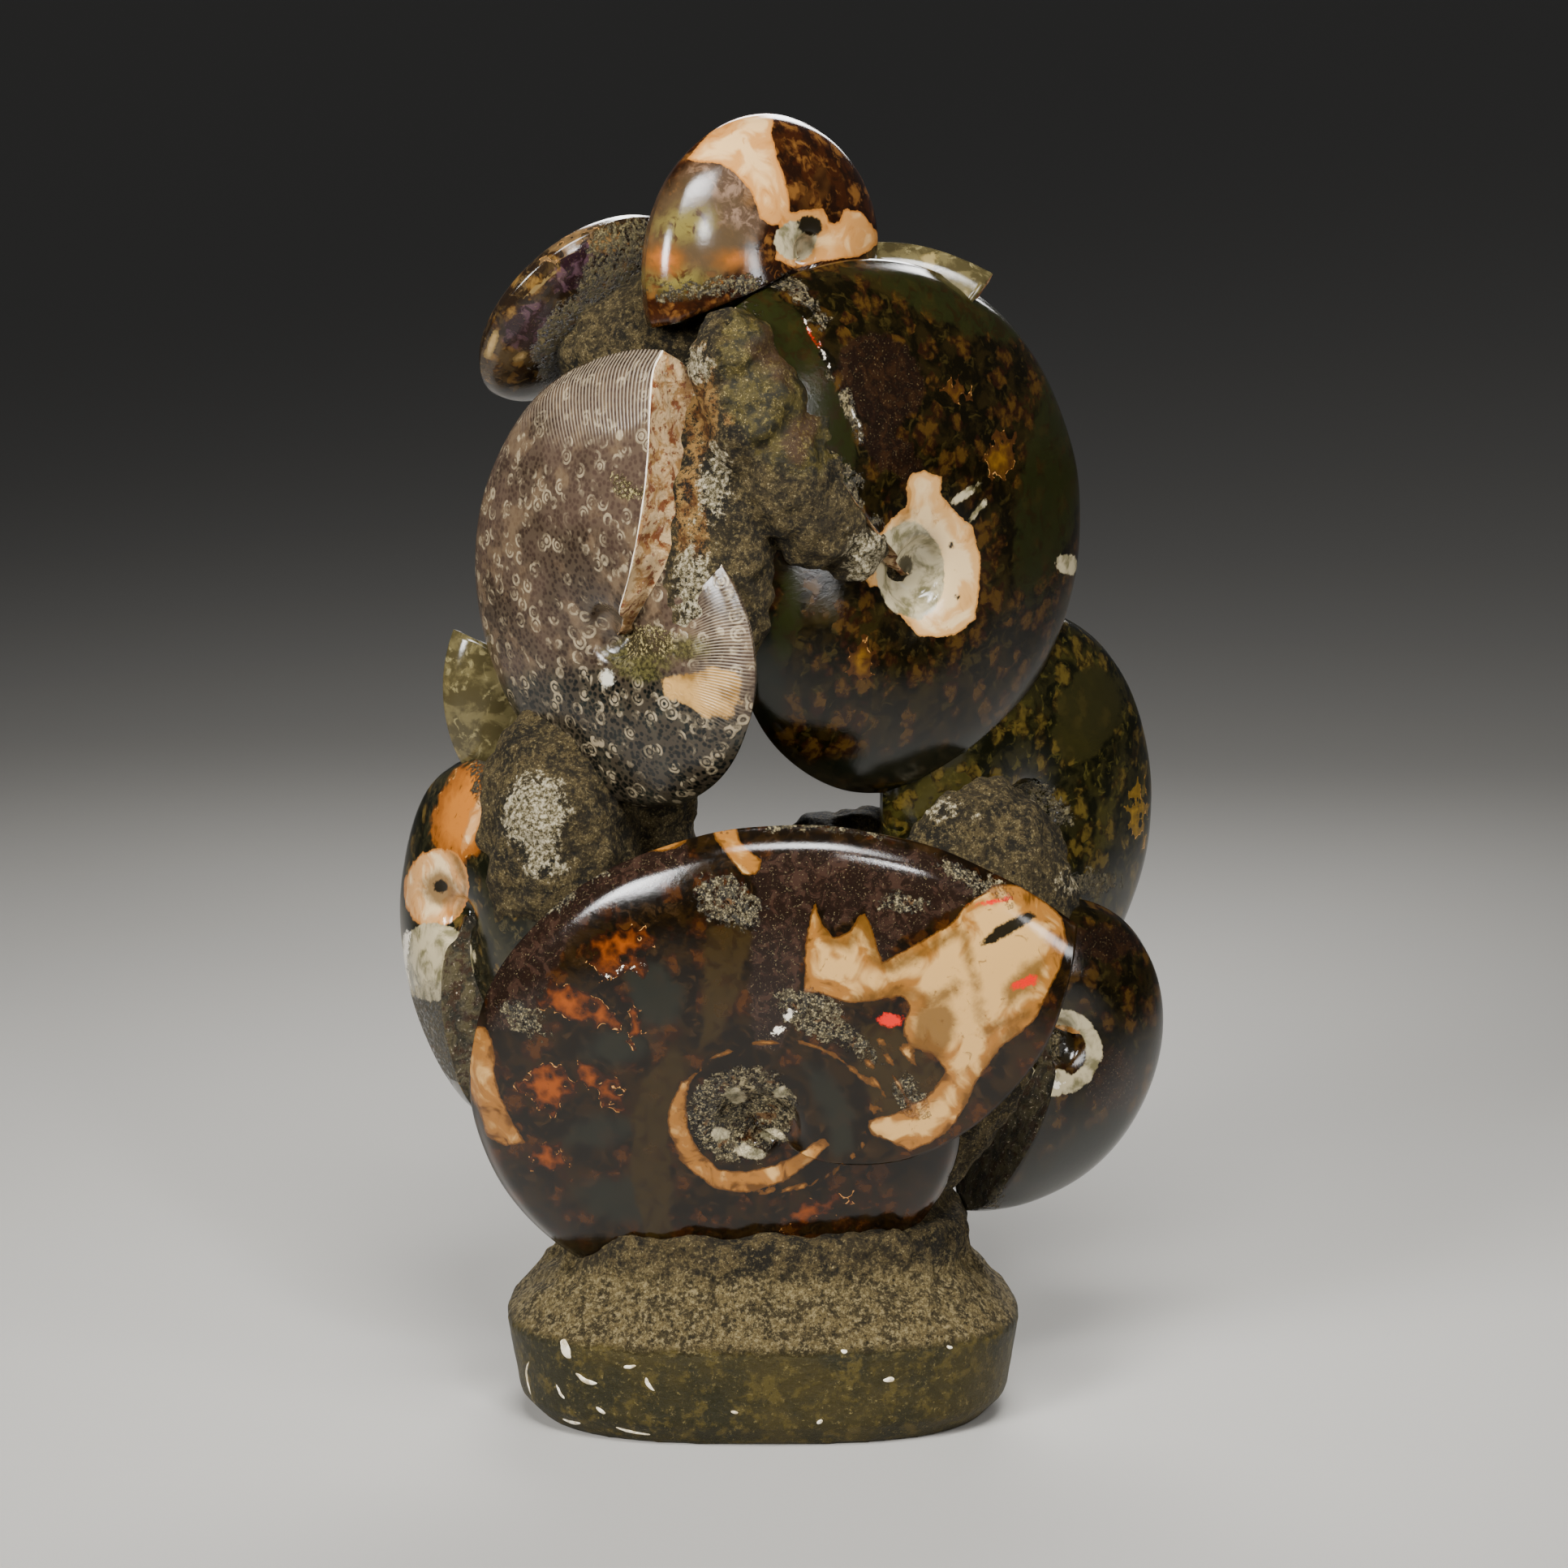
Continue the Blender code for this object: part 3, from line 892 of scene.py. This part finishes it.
# %% Marks of the two cheek shells
RIGHT_CHEEK_MARKS = {
    "nacre": (
        Outline((
            (1122, 584), (1138, 579), (1160, 588), (1159, 608), (1176, 629), (1198, 647),
            (1209, 688), (1206, 733), (1202, 763), (1176, 782), (1153, 786), (1131, 782),
            (1105, 756), (1090, 729), (1084, 696), (1086, 659), (1097, 640), (1118, 621),
            (1116, 599),
        )),
        Outline(((1048, 680), (1062, 664), (1090, 655), (1092, 720), (1072, 724), (1058, 702))),
    ),
    "pearl": (
        Patch(1122, 703, 42, 60, -6),
        Patch(1315, 695, 15, 12, 20),
        Patch(1190, 608, 22, 5, -35),
        Patch(1202, 632, 18, 4, -50),
    ),
    # Painted shade in the navel pit, and two small dark specks.
    "dark": (Patch(1116, 697, 9, 13), Patch(1172, 672, 3, 4), Patch(1180, 735, 3, 4)),
    "amber": (Patch(1180, 480, 16, 10, 30), Patch(1062, 815, 16, 22), Patch(1232, 560, 16, 26, 20)),
    # Painted red glints along the crack at the mouth.
    "flash": (Stroke(0.4, ((986, 390), (1000, 412), (1010, 430))),),
    # Painted shade along the bottom and the left rim, beside the hollow between the shells.
    "smoke": (Patch(1140, 940, 170, 26, -5), Patch(950, 820, 20, 80, 8)),
    "plum": (Patch(1085, 470, 50, 60, -30), Patch(1100, 560, 50, 22, 40)),
    "olive": (
        Patch(1305, 560, 40, 180, 12),
        Patch(1180, 375, 110, 26, 22),
        Patch(970, 760, 16, 60, 10),
        Outline((
            (900, 360), (940, 350), (985, 385), (1010, 430), (1045, 505), (1058, 560), (1040, 620),
            (1020, 660), (970, 660), (930, 560), (905, 460),
        )),
    ),
    "stain": (Stroke(4, ((1120, 632), (1104, 655), (1090, 700), (1100, 745), (1118, 770))),),
    "crust": (
        Outline(((960, 560), (1010, 540), (1062, 590), (1050, 650), (1000, 670), (950, 660))),
        Patch(935, 440, 22, 60, -20),
        Stroke(7, ((935, 346), (975, 350), (1005, 380), (1012, 400))),
        Stroke(3, ((1022, 458), (1048, 500), (1062, 545))),
        Patch(1040, 655, 36, 10, -20),
    ),
    # Painted white highlights along the same crack.
    "bright": (
        Stroke(0.3, ((990, 392), (1008, 425), (1024, 455))),
        Stroke(0.2, ((1050, 505), (1061, 530), (1055, 556))),
    ),
}

LEFT_CHEEK_MARKS = {
    "ribs": (Patch(755, 465, 100, 55, -28), Patch(893, 800, 30, 75, 0)),
    # The dark lower zone, partly painted shade over the hollow between the shells.
    "smoke": (Patch(740, 930, 190, 110), Patch(860, 930, 90, 60)),
    "olive": (Patch(786, 812, 40, 28), Patch(830, 800, 44, 12)),
    "nacre": (
        Outline((
            (816, 838), (845, 826), (880, 822), (912, 830), (916, 850), (900, 884), (870, 884),
            (845, 870), (822, 852),
        )),
    ),
    # A painted highlight by the navel.
    "bright": (Patch(748, 836, 8, 10),),
    "crust": (Patch(772, 600, 30, 12, 30), Patch(800, 790, 30, 20)),
}
print("right cheek marks", {kind: len(marks) for kind, marks in RIGHT_CHEEK_MARKS.items()})

# %% Marks of the smaller shells
CROWN_MARKS = {
    "nacre": (
        Outline((
            (845, 196), (883, 155), (923, 135), (954, 135), (950, 166), (959, 197), (972, 237),
            (974, 264), (954, 282), (936, 268), (927, 237), (900, 208), (878, 200), (856, 199),
        )),
        Outline((
            (965, 266), (990, 258), (1015, 256), (1022, 274), (1032, 276), (1040, 256), (1062, 262),
            (1090, 296), (1060, 316), (1010, 322), (980, 330), (955, 320),
        )),
    ),
    "pearl": (Patch(980, 296, 26, 24),),
    # Painted shade in the navel.
    "dark": (Patch(998, 278, 16, 12, 15),),
    "amber": (Patch(818, 320, 24, 20), Patch(905, 320, 26, 12)),
    "olive": (Patch(845, 277, 34, 20, -20), Patch(830, 345, 40, 16)),
    # A painted blue-grey sheen over the crown's lower left.
    "smoke": (
        Outline((
            (845, 215), (875, 206), (905, 215), (925, 245), (935, 270), (930, 300), (900, 330),
            (860, 352), (810, 352), (795, 330), (800, 280), (815, 245),
        )),
    ),
    "plum": (Patch(892, 222, 34, 22, 14), Patch(907, 266, 26, 14, 8)),
    "crust": (Patch(900, 352, 90, 10, -6),),
}

UPPER_LEFT_MARKS = {
    "plum": (Patch(652, 402, 34, 26, -40), Patch(712, 322, 30, 18, -40), Patch(690, 350, 20, 12)),
    "nacre": (Patch(606, 424, 6, 22, 20), Patch(664, 352, 26, 3, -40), Patch(640, 440, 12, 5, -30)),
    "amber": (Patch(700, 300, 30, 8, -35), Patch(745, 300, 20, 14)),
    "crust": (Patch(760, 400, 110, 60, -30), Patch(800, 330, 80, 60)),
}

LOWER_LEFT_MARKS = {
    "amber": (Patch(578, 1000, 40, 66, 24),),
    "stain": (Patch(543, 1095, 22, 22), Stroke(4, ((560, 1050), (575, 1090), (560, 1140)))),
    "nacre": (Patch(538, 1095, 40, 50, 10), Patch(585, 1010, 8, 40, 20)),
    # Painted shade in a small pit.
    "dark": (Patch(543, 1092, 9, 8),),
    "pearl": (Patch(535, 1185, 50, 48),),
    "crust": (Patch(543, 1270, 60, 60), Patch(620, 960, 40, 40)),
    # A painted white glint down the left rim.
    "bright": (Stroke(3, ((502, 1150), (498, 1190), (502, 1228))),),
}

LOWER_RIGHT_MARKS = {
    "plum": (Patch(1354, 1162, 50, 20), Patch(1370, 1330, 30, 40)),
    "pearl": (Patch(1302, 1296, 46, 44, 0, 9), Patch(1290, 1330, 26, 14)),
    "nacre": (Patch(1318, 1262, 26, 10, 20),),
    "crust": (Patch(1290, 1290, 24, 20), Patch(1180, 1450, 60, 50), Patch(1240, 1350, 20, 50)),
    # A smoky dark tint towards the bottom.
    "smoke": (Patch(1330, 1440, 120, 40, -35),),
    # Painted shade beside the navel ring.
    "dark": (Patch(1314, 1290, 9, 22),),
    # A painted white glint below the navel.
    "bright": (Patch(1302, 1336, 10, 4),),
}

RIGHT_REAR_MARKS = {
    "amber": (Patch(1402, 1000, 9, 26),),
    "crust": (Patch(1282, 973, 16, 12), Patch(1342, 1090, 30, 14), Patch(1250, 1000, 60, 30)),
    "olive": (Patch(1340, 880, 40, 60, 20),),
}
print("crown marks", {kind: len(marks) for kind, marks in CROWN_MARKS.items()})

# %% Finishes
RUSSET = Calcite(
    name="polished brown calcite with amber sutures",
    deep="#0d0702", mid="#1e1203", haze="#291a08", lobe="#3a1f06", lobe_dark="#1c0b03", lobes=0.55,
    nacre_rim="#4f300d", nacre="#8a5a24", cream="#c09658", amber="#7e3b09", amber_dark="#1e0c03",
    smoke="#1a1b14", plum="#1b110c", plum_mid="#32221a", olive="#2c2009",
    crust_dark="#1c170b", crust_mid="#41371d", crust_light="#9a8c66",
)
UMBER = RUSSET._replace(
    name="polished olive calcite with brown sutures",
    deep="#0a0701", mid="#1a1304", haze="#292109", lobe="#3f2b0c", lobe_dark="#1c0c04", lobes=0.72,
    nacre_rim="#a9763c", nacre="#cb9a5c", cream="#e0bf8c", amber="#6b4a12", amber_dark="#38200a",
    smoke="#0e120a", plum="#150b06", plum_mid="#241409", olive="#1d1f09", crust_light="#857650",
)
AMBER = RUSSET._replace(
    name="polished honey calcite with cream nacre",
    deep="#1a0c05", mid="#2e1506", haze="#4d2f12", lobe="#6a451d", lobe_dark="#2a1106", lobes=0.6,
    nacre_rim="#a96d30", nacre="#bf8647", cream="#deb377", amber="#a05a22", amber_dark="#6a421a",
    # The smoky colour here paints the crown's blue-grey sheen.
    smoke="#4c3d29", plum="#4b3a2c", plum_mid="#7f6653", olive="#6f6430", crust_light="#82744c",
    soft=1.6,
)
PLUM = RUSSET._replace(
    name="plum calcite under a sandstone skin",
    deep="#1d140c", mid="#3a2c18", haze="#544227", lobe="#6f5226", lobe_dark="#2a1a0c", lobes=0.5,
    nacre_rim="#6f5a34", nacre="#94794a", cream="#b99c6c", plum="#1f1015", plum_mid="#4a333c",
    amber="#8d6a3a", amber_dark="#57432a",
    crust_dark="#2c2613", crust_mid="#524825", crust_light="#85754a",
)
MOSS = RUSSET._replace(
    name="smooth olive calcite",
    deep="#0b0b03", mid="#1f1c0a", haze="#3a3412", lobe="#4d3f17", lobe_dark="#191205", lobes=0.6,
    amber="#94701c", amber_dark="#5f4710", olive="#24210c", crust_light="#6e6340",
)
GREY = MOSS._replace(
    name="smooth grey green calcite",
    deep="#3d3620", mid="#5b5234", haze="#756b48", lobe="#857549", lobe_dark="#544a2c", lobes=0.2,
)
HONEY = RUSSET._replace(
    name="orange and cream calcite",
    deep="#0f1007", mid="#232112", haze="#3a331d", lobe="#57461f", lobe_dark="#241a0a", lobes=0.4,
    nacre_rim="#a96f36", nacre="#c9955c", cream="#e6c694", amber="#b06a24", amber_dark="#874c18",
    crust_dark="#17150a", crust_mid="#332c18", crust_light="#655736", soft=0.5,
)

TAN_FILL = crumbling_calcite("crumbling tan calcite", "#b07f42", "#ecc690", "#8a4a18")
DARK_FILL = crumbling_calcite("crumbling grey calcite", "#2a2513", "#5f5435", "#40290f")
print("mouth fillings", TAN_FILL.name, "and", DARK_FILL.name)

# Each shell: its finish, its marks and the fill of its mouth, and the record's material slot.
DRESS = {
    "right_cheek_ammonite": (UMBER, RIGHT_CHEEK_MARKS, TAN_FILL, "umber"),
    "left_cheek_ammonite": (None, LEFT_CHEEK_MARKS, TAN_FILL, "ringed"),
    "belly_ammonite": (RUSSET, BELLY_MARKS, DARK_FILL, "russet"),
    "crown_ammonite": (AMBER, CROWN_MARKS, DARK_FILL, "amber"),
    "upper_left_ammonite": (PLUM, UPPER_LEFT_MARKS, DARK_FILL, "plum"),
    "lower_right_ammonite": (UMBER, LOWER_RIGHT_MARKS, DARK_FILL, "umber"),
    "lower_left_ammonite": (HONEY, LOWER_LEFT_MARKS, DARK_FILL, "honey"),
    "right_rear_ammonite": (MOSS, RIGHT_REAR_MARKS, DARK_FILL, "moss"),
    "top_rear_ammonite": (GREY, {}, TAN_FILL, "plum"),
    "left_rear_ammonite": (GREY, {}, DARK_FILL, "moss"),
    "low_rear_ammonite": (RUSSET, {}, DARK_FILL, "russet"),
}

# %% Make the shells
for shell in SHELLS:
    look, marks, filling, slot = DRESS[shell.name]
    skin = calcite(look) if look else ringed_silica("polished shell with silica rings")
    bm = coil(shell)
    push_out(bm, polish_rise)
    piece = write_piece(shell.name.replace("ammonite", "shell"), bm, (skin, filling))
    mark_surface(piece.data, marks)
    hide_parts(shell.name)
    print(shell.name, len(piece.data.polygons), "faces")

# %% [markdown]
# ## The rock
#
# Rough masses fill the space between the shells. They are run together by remeshing them as one
# volume, and then each vertex is moved by lumps of three sizes. The foot was sawn and ground, so it
# keeps its plan and only its edges are chipped.

# %% Rock masses, each a middle and half sizes in mm
ROCK_MASSES = (
    ((0, 4, 46), (40, 26, 20)),
    ((2, 6, 82), (50, 30, 38)),
    ((-2, -12, 78), (58, 15, 38)),
    ((44, 14, 108), (22, 18, 25)),
    ((22, 34, 97), (28, 14, 25)),
    ((38, 46, 132), (13, 14, 34)),
    ((22, 36, 166), (24, 14, 24)),
    ((-43, 3, 120), (17, 21, 32)),
    ((-28, 18, 130), (14, 15, 36)),
    ((0, 14, 188), (44, 22, 38)),
    ((-2, -10, 207), (20, 17, 22)),
    ((12, -8, 190), (9, 12, 11)),
    ((-10, -16, 182), (13, 16, 32)),
    ((-10, 4, 224), (32, 18, 20)),
)
# Rock in the right cheek's mouth, in that shell's own axes: it is ground flush with the flank.
MOUTH_FILL = (
    ((-16, 8.5, 8.5), (8, 8, 9)),
    ((-24.5, 16, 8.7), (10.5, 11, 9.7)),
    ((-32.5, 26, 8), (12, 14, 9.7)),
    ((-38.5, 37, 5), (11, 14, 10)),
    ((-41.5, 47, 2), (8.5, 12, 9)),
)


def add_masses(bm, masses, axes):
    """Adds ellipsoids that lie along some axes."""
    for middle, half in masses:
        place = Matrix.Translation(middle) @ Matrix.Diagonal((*half, 1.0))
        bmesh.ops.create_icosphere(bm, subdivisions=4, radius=1, matrix=axes @ place)


bm = bmesh.new()
add_masses(bm, MOUTH_FILL, shell_frame(SHELLS[0]))
add_masses(bm, ROCK_MASSES, Matrix.Identity(4))
print("rock masses", len(MOUTH_FILL) + len(ROCK_MASSES))

# %% The sawn foot, with each level's height and share of the full plan
FOOT_HALF_WIDTH, FOOT_HALF_DEPTH, FOOT_SQUARENESS = 54.5, 38.0, 2.7
FOOT_SIDES = 96
FOOT_LEVELS = ((0.0, 0.86), (5.0, 0.95), (21.0, 1.0), (33.0, 0.80), (43.0, 0.77))


def foot_outline(share, angle):
    """A point of the foot's plan, an ellipse pressed towards a rectangle, at a share of full size."""
    power = 2 / FOOT_SQUARENESS
    across, along = math.cos(angle), math.sin(angle)
    return (
        share * FOOT_HALF_WIDTH * math.copysign(abs(across) ** power, across),
        share * FOOT_HALF_DEPTH * math.copysign(abs(along) ** power, along),
    )


def add_foot(bm):
    """A cylinder over the first two levels, then its top drawn on up level by level."""
    made = bmesh.ops.create_cone(
        bm, cap_ends=True, segments=FOOT_SIDES, radius1=1, radius2=1, depth=1
    )["verts"]
    for vert in made:
        height, share = FOOT_LEVELS[0 if vert.co.z < 0 else 1]
        vert.co = (*foot_outline(share, math.atan2(vert.co.y, vert.co.x)), height)
    faces = {face for vert in made for face in vert.link_faces}
    top = max(faces, key=lambda face: face.calc_center_median().z)
    for (_, below), (height, share) in zip(FOOT_LEVELS[1:], FOOT_LEVELS[2:]):
        top = bmesh.ops.extrude_discrete_faces(bm, faces=[top])["faces"][0]
        bmesh.ops.scale(bm, vec=(share / below, share / below, 1), verts=top.verts)
        for vert in top.verts:
            vert.co.z = height


add_foot(bm)
print("foot levels", len(FOOT_LEVELS))

# %% Run the masses together
ROCK_VOXEL = 1.15

bmesh.ops.scale(bm, vec=(MM, MM, MM), verts=bm.verts)
bmesh.ops.recalc_face_normals(bm, faces=bm.faces)
rough = put_in_scene("rough rock", bpy.data.meshes.new("rough rock"))
bm.to_mesh(rough.data)
bm.free()
remesh = rough.modifiers.new("Run together", "REMESH")
remesh.mode = "VOXEL"
remesh.voxel_size = ROCK_VOXEL * MM
graph = bpy.context.evaluated_depsgraph_get()
carved = bpy.data.meshes.new_from_object(rough.evaluated_get(graph))
bpy.data.objects.remove(rough, do_unlink=True)
print("rock run together", len(carved.polygons), "faces")

# %% Lumps, each a size and a rise in mm
LUMPS = ((14.0, 1.3), (6.0, 1.5), (2.6, 0.8))
UNDERSIDE, GROUND_TOP, ROUGH_FROM = 1.0, 20, 34
GROUND_SHARE = 0.12


def rock_rise(vert):
    """How far the rock stands out in mm: nothing on the underside and little on the ground wall."""
    height = vert.co.z / MM
    if height < UNDERSIDE:
        return 0.0
    level = min(1.0, max(0.0, (height - GROUND_TOP) / (ROUGH_FROM - GROUND_TOP)))
    rise = sum(share * uneven(vert.co, size, size) for size, share in LUMPS)
    return rise * (GROUND_SHARE + (1 - GROUND_SHARE) * level)


bm = bmesh.new()
bm.from_mesh(carved)
bmesh.ops.smooth_vert(
    bm, verts=bm.verts, factor=0.5, use_axis_x=True, use_axis_y=True, use_axis_z=True
)
push_out(bm, rock_rise)

# %% Marks and finish of the rock
ROCK_MARKS = {
    "nacre": (
        Outline((
            (622, 985), (650, 958), (690, 968), (700, 1000), (686, 1030), (690, 1070), (655, 1078),
            (640, 1040), (618, 1020),
        )),
        Patch(1140, 992, 34, 8, 10),
        Patch(1342, 1088, 30, 12),
        Patch(1282, 973, 10, 9),
        Patch(880, 600, 16, 40),
        Patch(1068, 690, 26, 34),
        Patch(858, 450, 16, 18),
        Patch(852, 720, 16, 44),
    ),
    "amber": (
        Patch(862, 500, 22, 70),
        Patch(852, 640, 20, 60),
        Patch(900, 515, 10, 8),
        Patch(930, 500, 6, 6),
        Patch(1095, 1700, 8, 6),
    ),
    "olive": (Patch(975, 470, 90, 120, -20),),
}
rock = write_piece("sandstone", bm, (sandstone("glauconite sandstone"),))
mark_surface(rock.data, ROCK_MARKS)
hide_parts("rock_matrix")
print("rock", len(rock.data.polygons), "faces")

# %% [markdown]
# ## Shell chips in the foot
#
# Sawing the foot cut through bits of white shell in the sandstone. Each is a small curved sliver: a
# ball of a few faces, flattened, bent, and sunk in the wall where the photograph shows it. Cut
# shell is aragonite, a little glossier than the sandstone round it.

# %% Chips
Chip = namedtuple("Chip", "x y long thick turn bend")
CHIPS = (
    Chip(697, 1662, 26, 13, 70, 0.2),
    Chip(722, 1700, 30, 7, 15, 0.5),
    Chip(776, 1684, 16, 5, -14, 0.1),
    Chip(800, 1706, 20, 5, 58, 0.35),
    Chip(652, 1700, 60, 4, 78, 0.9),
    Chip(705, 1752, 30, 6, -30, 0.3),
    Chip(780, 1764, 44, 5, 3, 0.2),
    Chip(740, 1738, 14, 5, 30, 0.2),
    Chip(690, 1715, 20, 4, 50, 0.4),
    Chip(1095, 1700, 14, 9, 0, 0.1),
    Chip(1040, 1665, 8, 6, 0, 0.1),
    Chip(1170, 1660, 8, 5, 20, 0.1),
    Chip(905, 1740, 9, 4, 10, 0.1),
    Chip(1010, 1752, 8, 5, -20, 0.1),
)
CHIP_DEPTH = 0.5
CHIP_MIDDLE, CHIP_WAVE, CHIP_WAVE_SIZE = 0.1, 0.25, 1.2
ARAGONITE_IOR, CUT_ROUGHNESS = 1.6, 0.4


def add_chip(bm, chip, surface):
    """Adds one bent sliver where the camera's ray through its pixel meets the rock."""
    spot, normal, _, _ = surface.ray_cast(eye, photo_ray(chip.x, chip.y))
    made = bmesh.ops.create_icosphere(bm, subdivisions=3, radius=0.5)["verts"]
    size = (chip.long * PIXEL, chip.thick * PIXEL, CHIP_DEPTH * MM)
    bmesh.ops.scale(bm, vec=size, verts=made)
    for vert in made:
        along = vert.co.x / size[0]
        vert.co.y += chip.bend * size[0] * (along * along - CHIP_MIDDLE)
        vert.co.y += CHIP_WAVE * size[1] * uneven(vert.co, CHIP_WAVE_SIZE, chip.x)
    right = Vector((1, 0, 0))
    right = (right - normal * right.dot(normal)).normalized()
    axes = Matrix((right, normal.cross(right), normal)).transposed().to_4x4()
    turn = Matrix.Rotation(math.radians(-chip.turn), 4, "Z")
    bmesh.ops.transform(bm, matrix=Matrix.Translation(spot) @ axes @ turn, verts=made)


surface = BVHTree.FromPolygons(
    [vert.co.copy() for vert in rock.data.vertices],
    [tuple(face.vertices) for face in rock.data.polygons],
)
bm = bmesh.new()
for chip in CHIPS:
    add_chip(bm, chip, surface)
material, shader, where = new_finish("cut shell in the sandstone")
cut = two_tone("#bfae8a", "#efe4cb", grain(where, 1.5), 0.4, 0.55)
fill(shader, {"Base Color": cut, "Roughness": CUT_ROUGHNESS, "IOR": ARAGONITE_IOR})
chips = write_piece("shell_chips", bm, (material,))
print("chips", len(chips.data.polygons), "faces")

# %% [markdown]
# ## Studio
#
# The floor is plain and pale. Soft boxes light the cluster: a large one from the upper left, a long
# one overhead that draws the highlight along the belly, a small one that puts a glint on each polished
# flank, and weak ones from the right and from behind.

# %% Floor
FLOOR_SIDE, PAPER_ROUGHNESS = 16.0, 0.9

bm = bmesh.new()
bmesh.ops.create_grid(bm, x_segments=1, y_segments=1, size=FLOOR_SIDE / 2)
mesh = bpy.data.meshes.new("floor")
bm.to_mesh(mesh)
bm.free()
floor = put_in_scene("floor", mesh)
material, shader, _ = new_finish("matt paper")
fill(shader, {"Base Color": tone("#b0ada7"), "Roughness": PAPER_ROUGHNESS})
mesh.materials.append(material)
print("floor", FLOOR_SIDE, "m")

# %% Lights
Softbox = namedtuple("Softbox", "name place wide high power spread")
SOFTBOXES = (
    Softbox("upper left", (-0.70, -0.95, 0.62), 0.40, 0.40, 3.0, 60),
    Softbox("overhead", (0.05, -0.48, 0.82), 0.42, 0.20, 1.2, 60),
    Softbox("small upper right", (0.38, -0.95, 0.75), 0.10, 0.14, 0.4, 60),
    Softbox("right", (0.85, -0.60, 0.36), 0.25, 0.40, 0.6, 60),
    Softbox("behind", (0.10, 0.90, 0.60), 0.60, 0.40, 2.0, 70),
)
AMBIENT_STRENGTH = 0.06

for box in SOFTBOXES:
    light = bpy.data.lights.new(box.name, "AREA")
    light.shape = "RECTANGLE"
    light.size, light.size_y = box.wide, box.high
    light.energy = box.power
    light.spread = math.radians(box.spread)
    lamp = put_in_scene(box.name, light)
    lamp.location = box.place
    lamp.rotation_euler = (AIM - Vector(box.place)).to_track_quat("-Z", "Y").to_euler()
world = bpy.data.worlds.new("studio")
bpy.context.scene.world = world
world.use_nodes = True
background = world.node_tree.nodes["Background"]
fill(background, {"Color": tone("#e8eaee"), "Strength": AMBIENT_STRENGTH})
print("lights", len(SOFTBOXES))
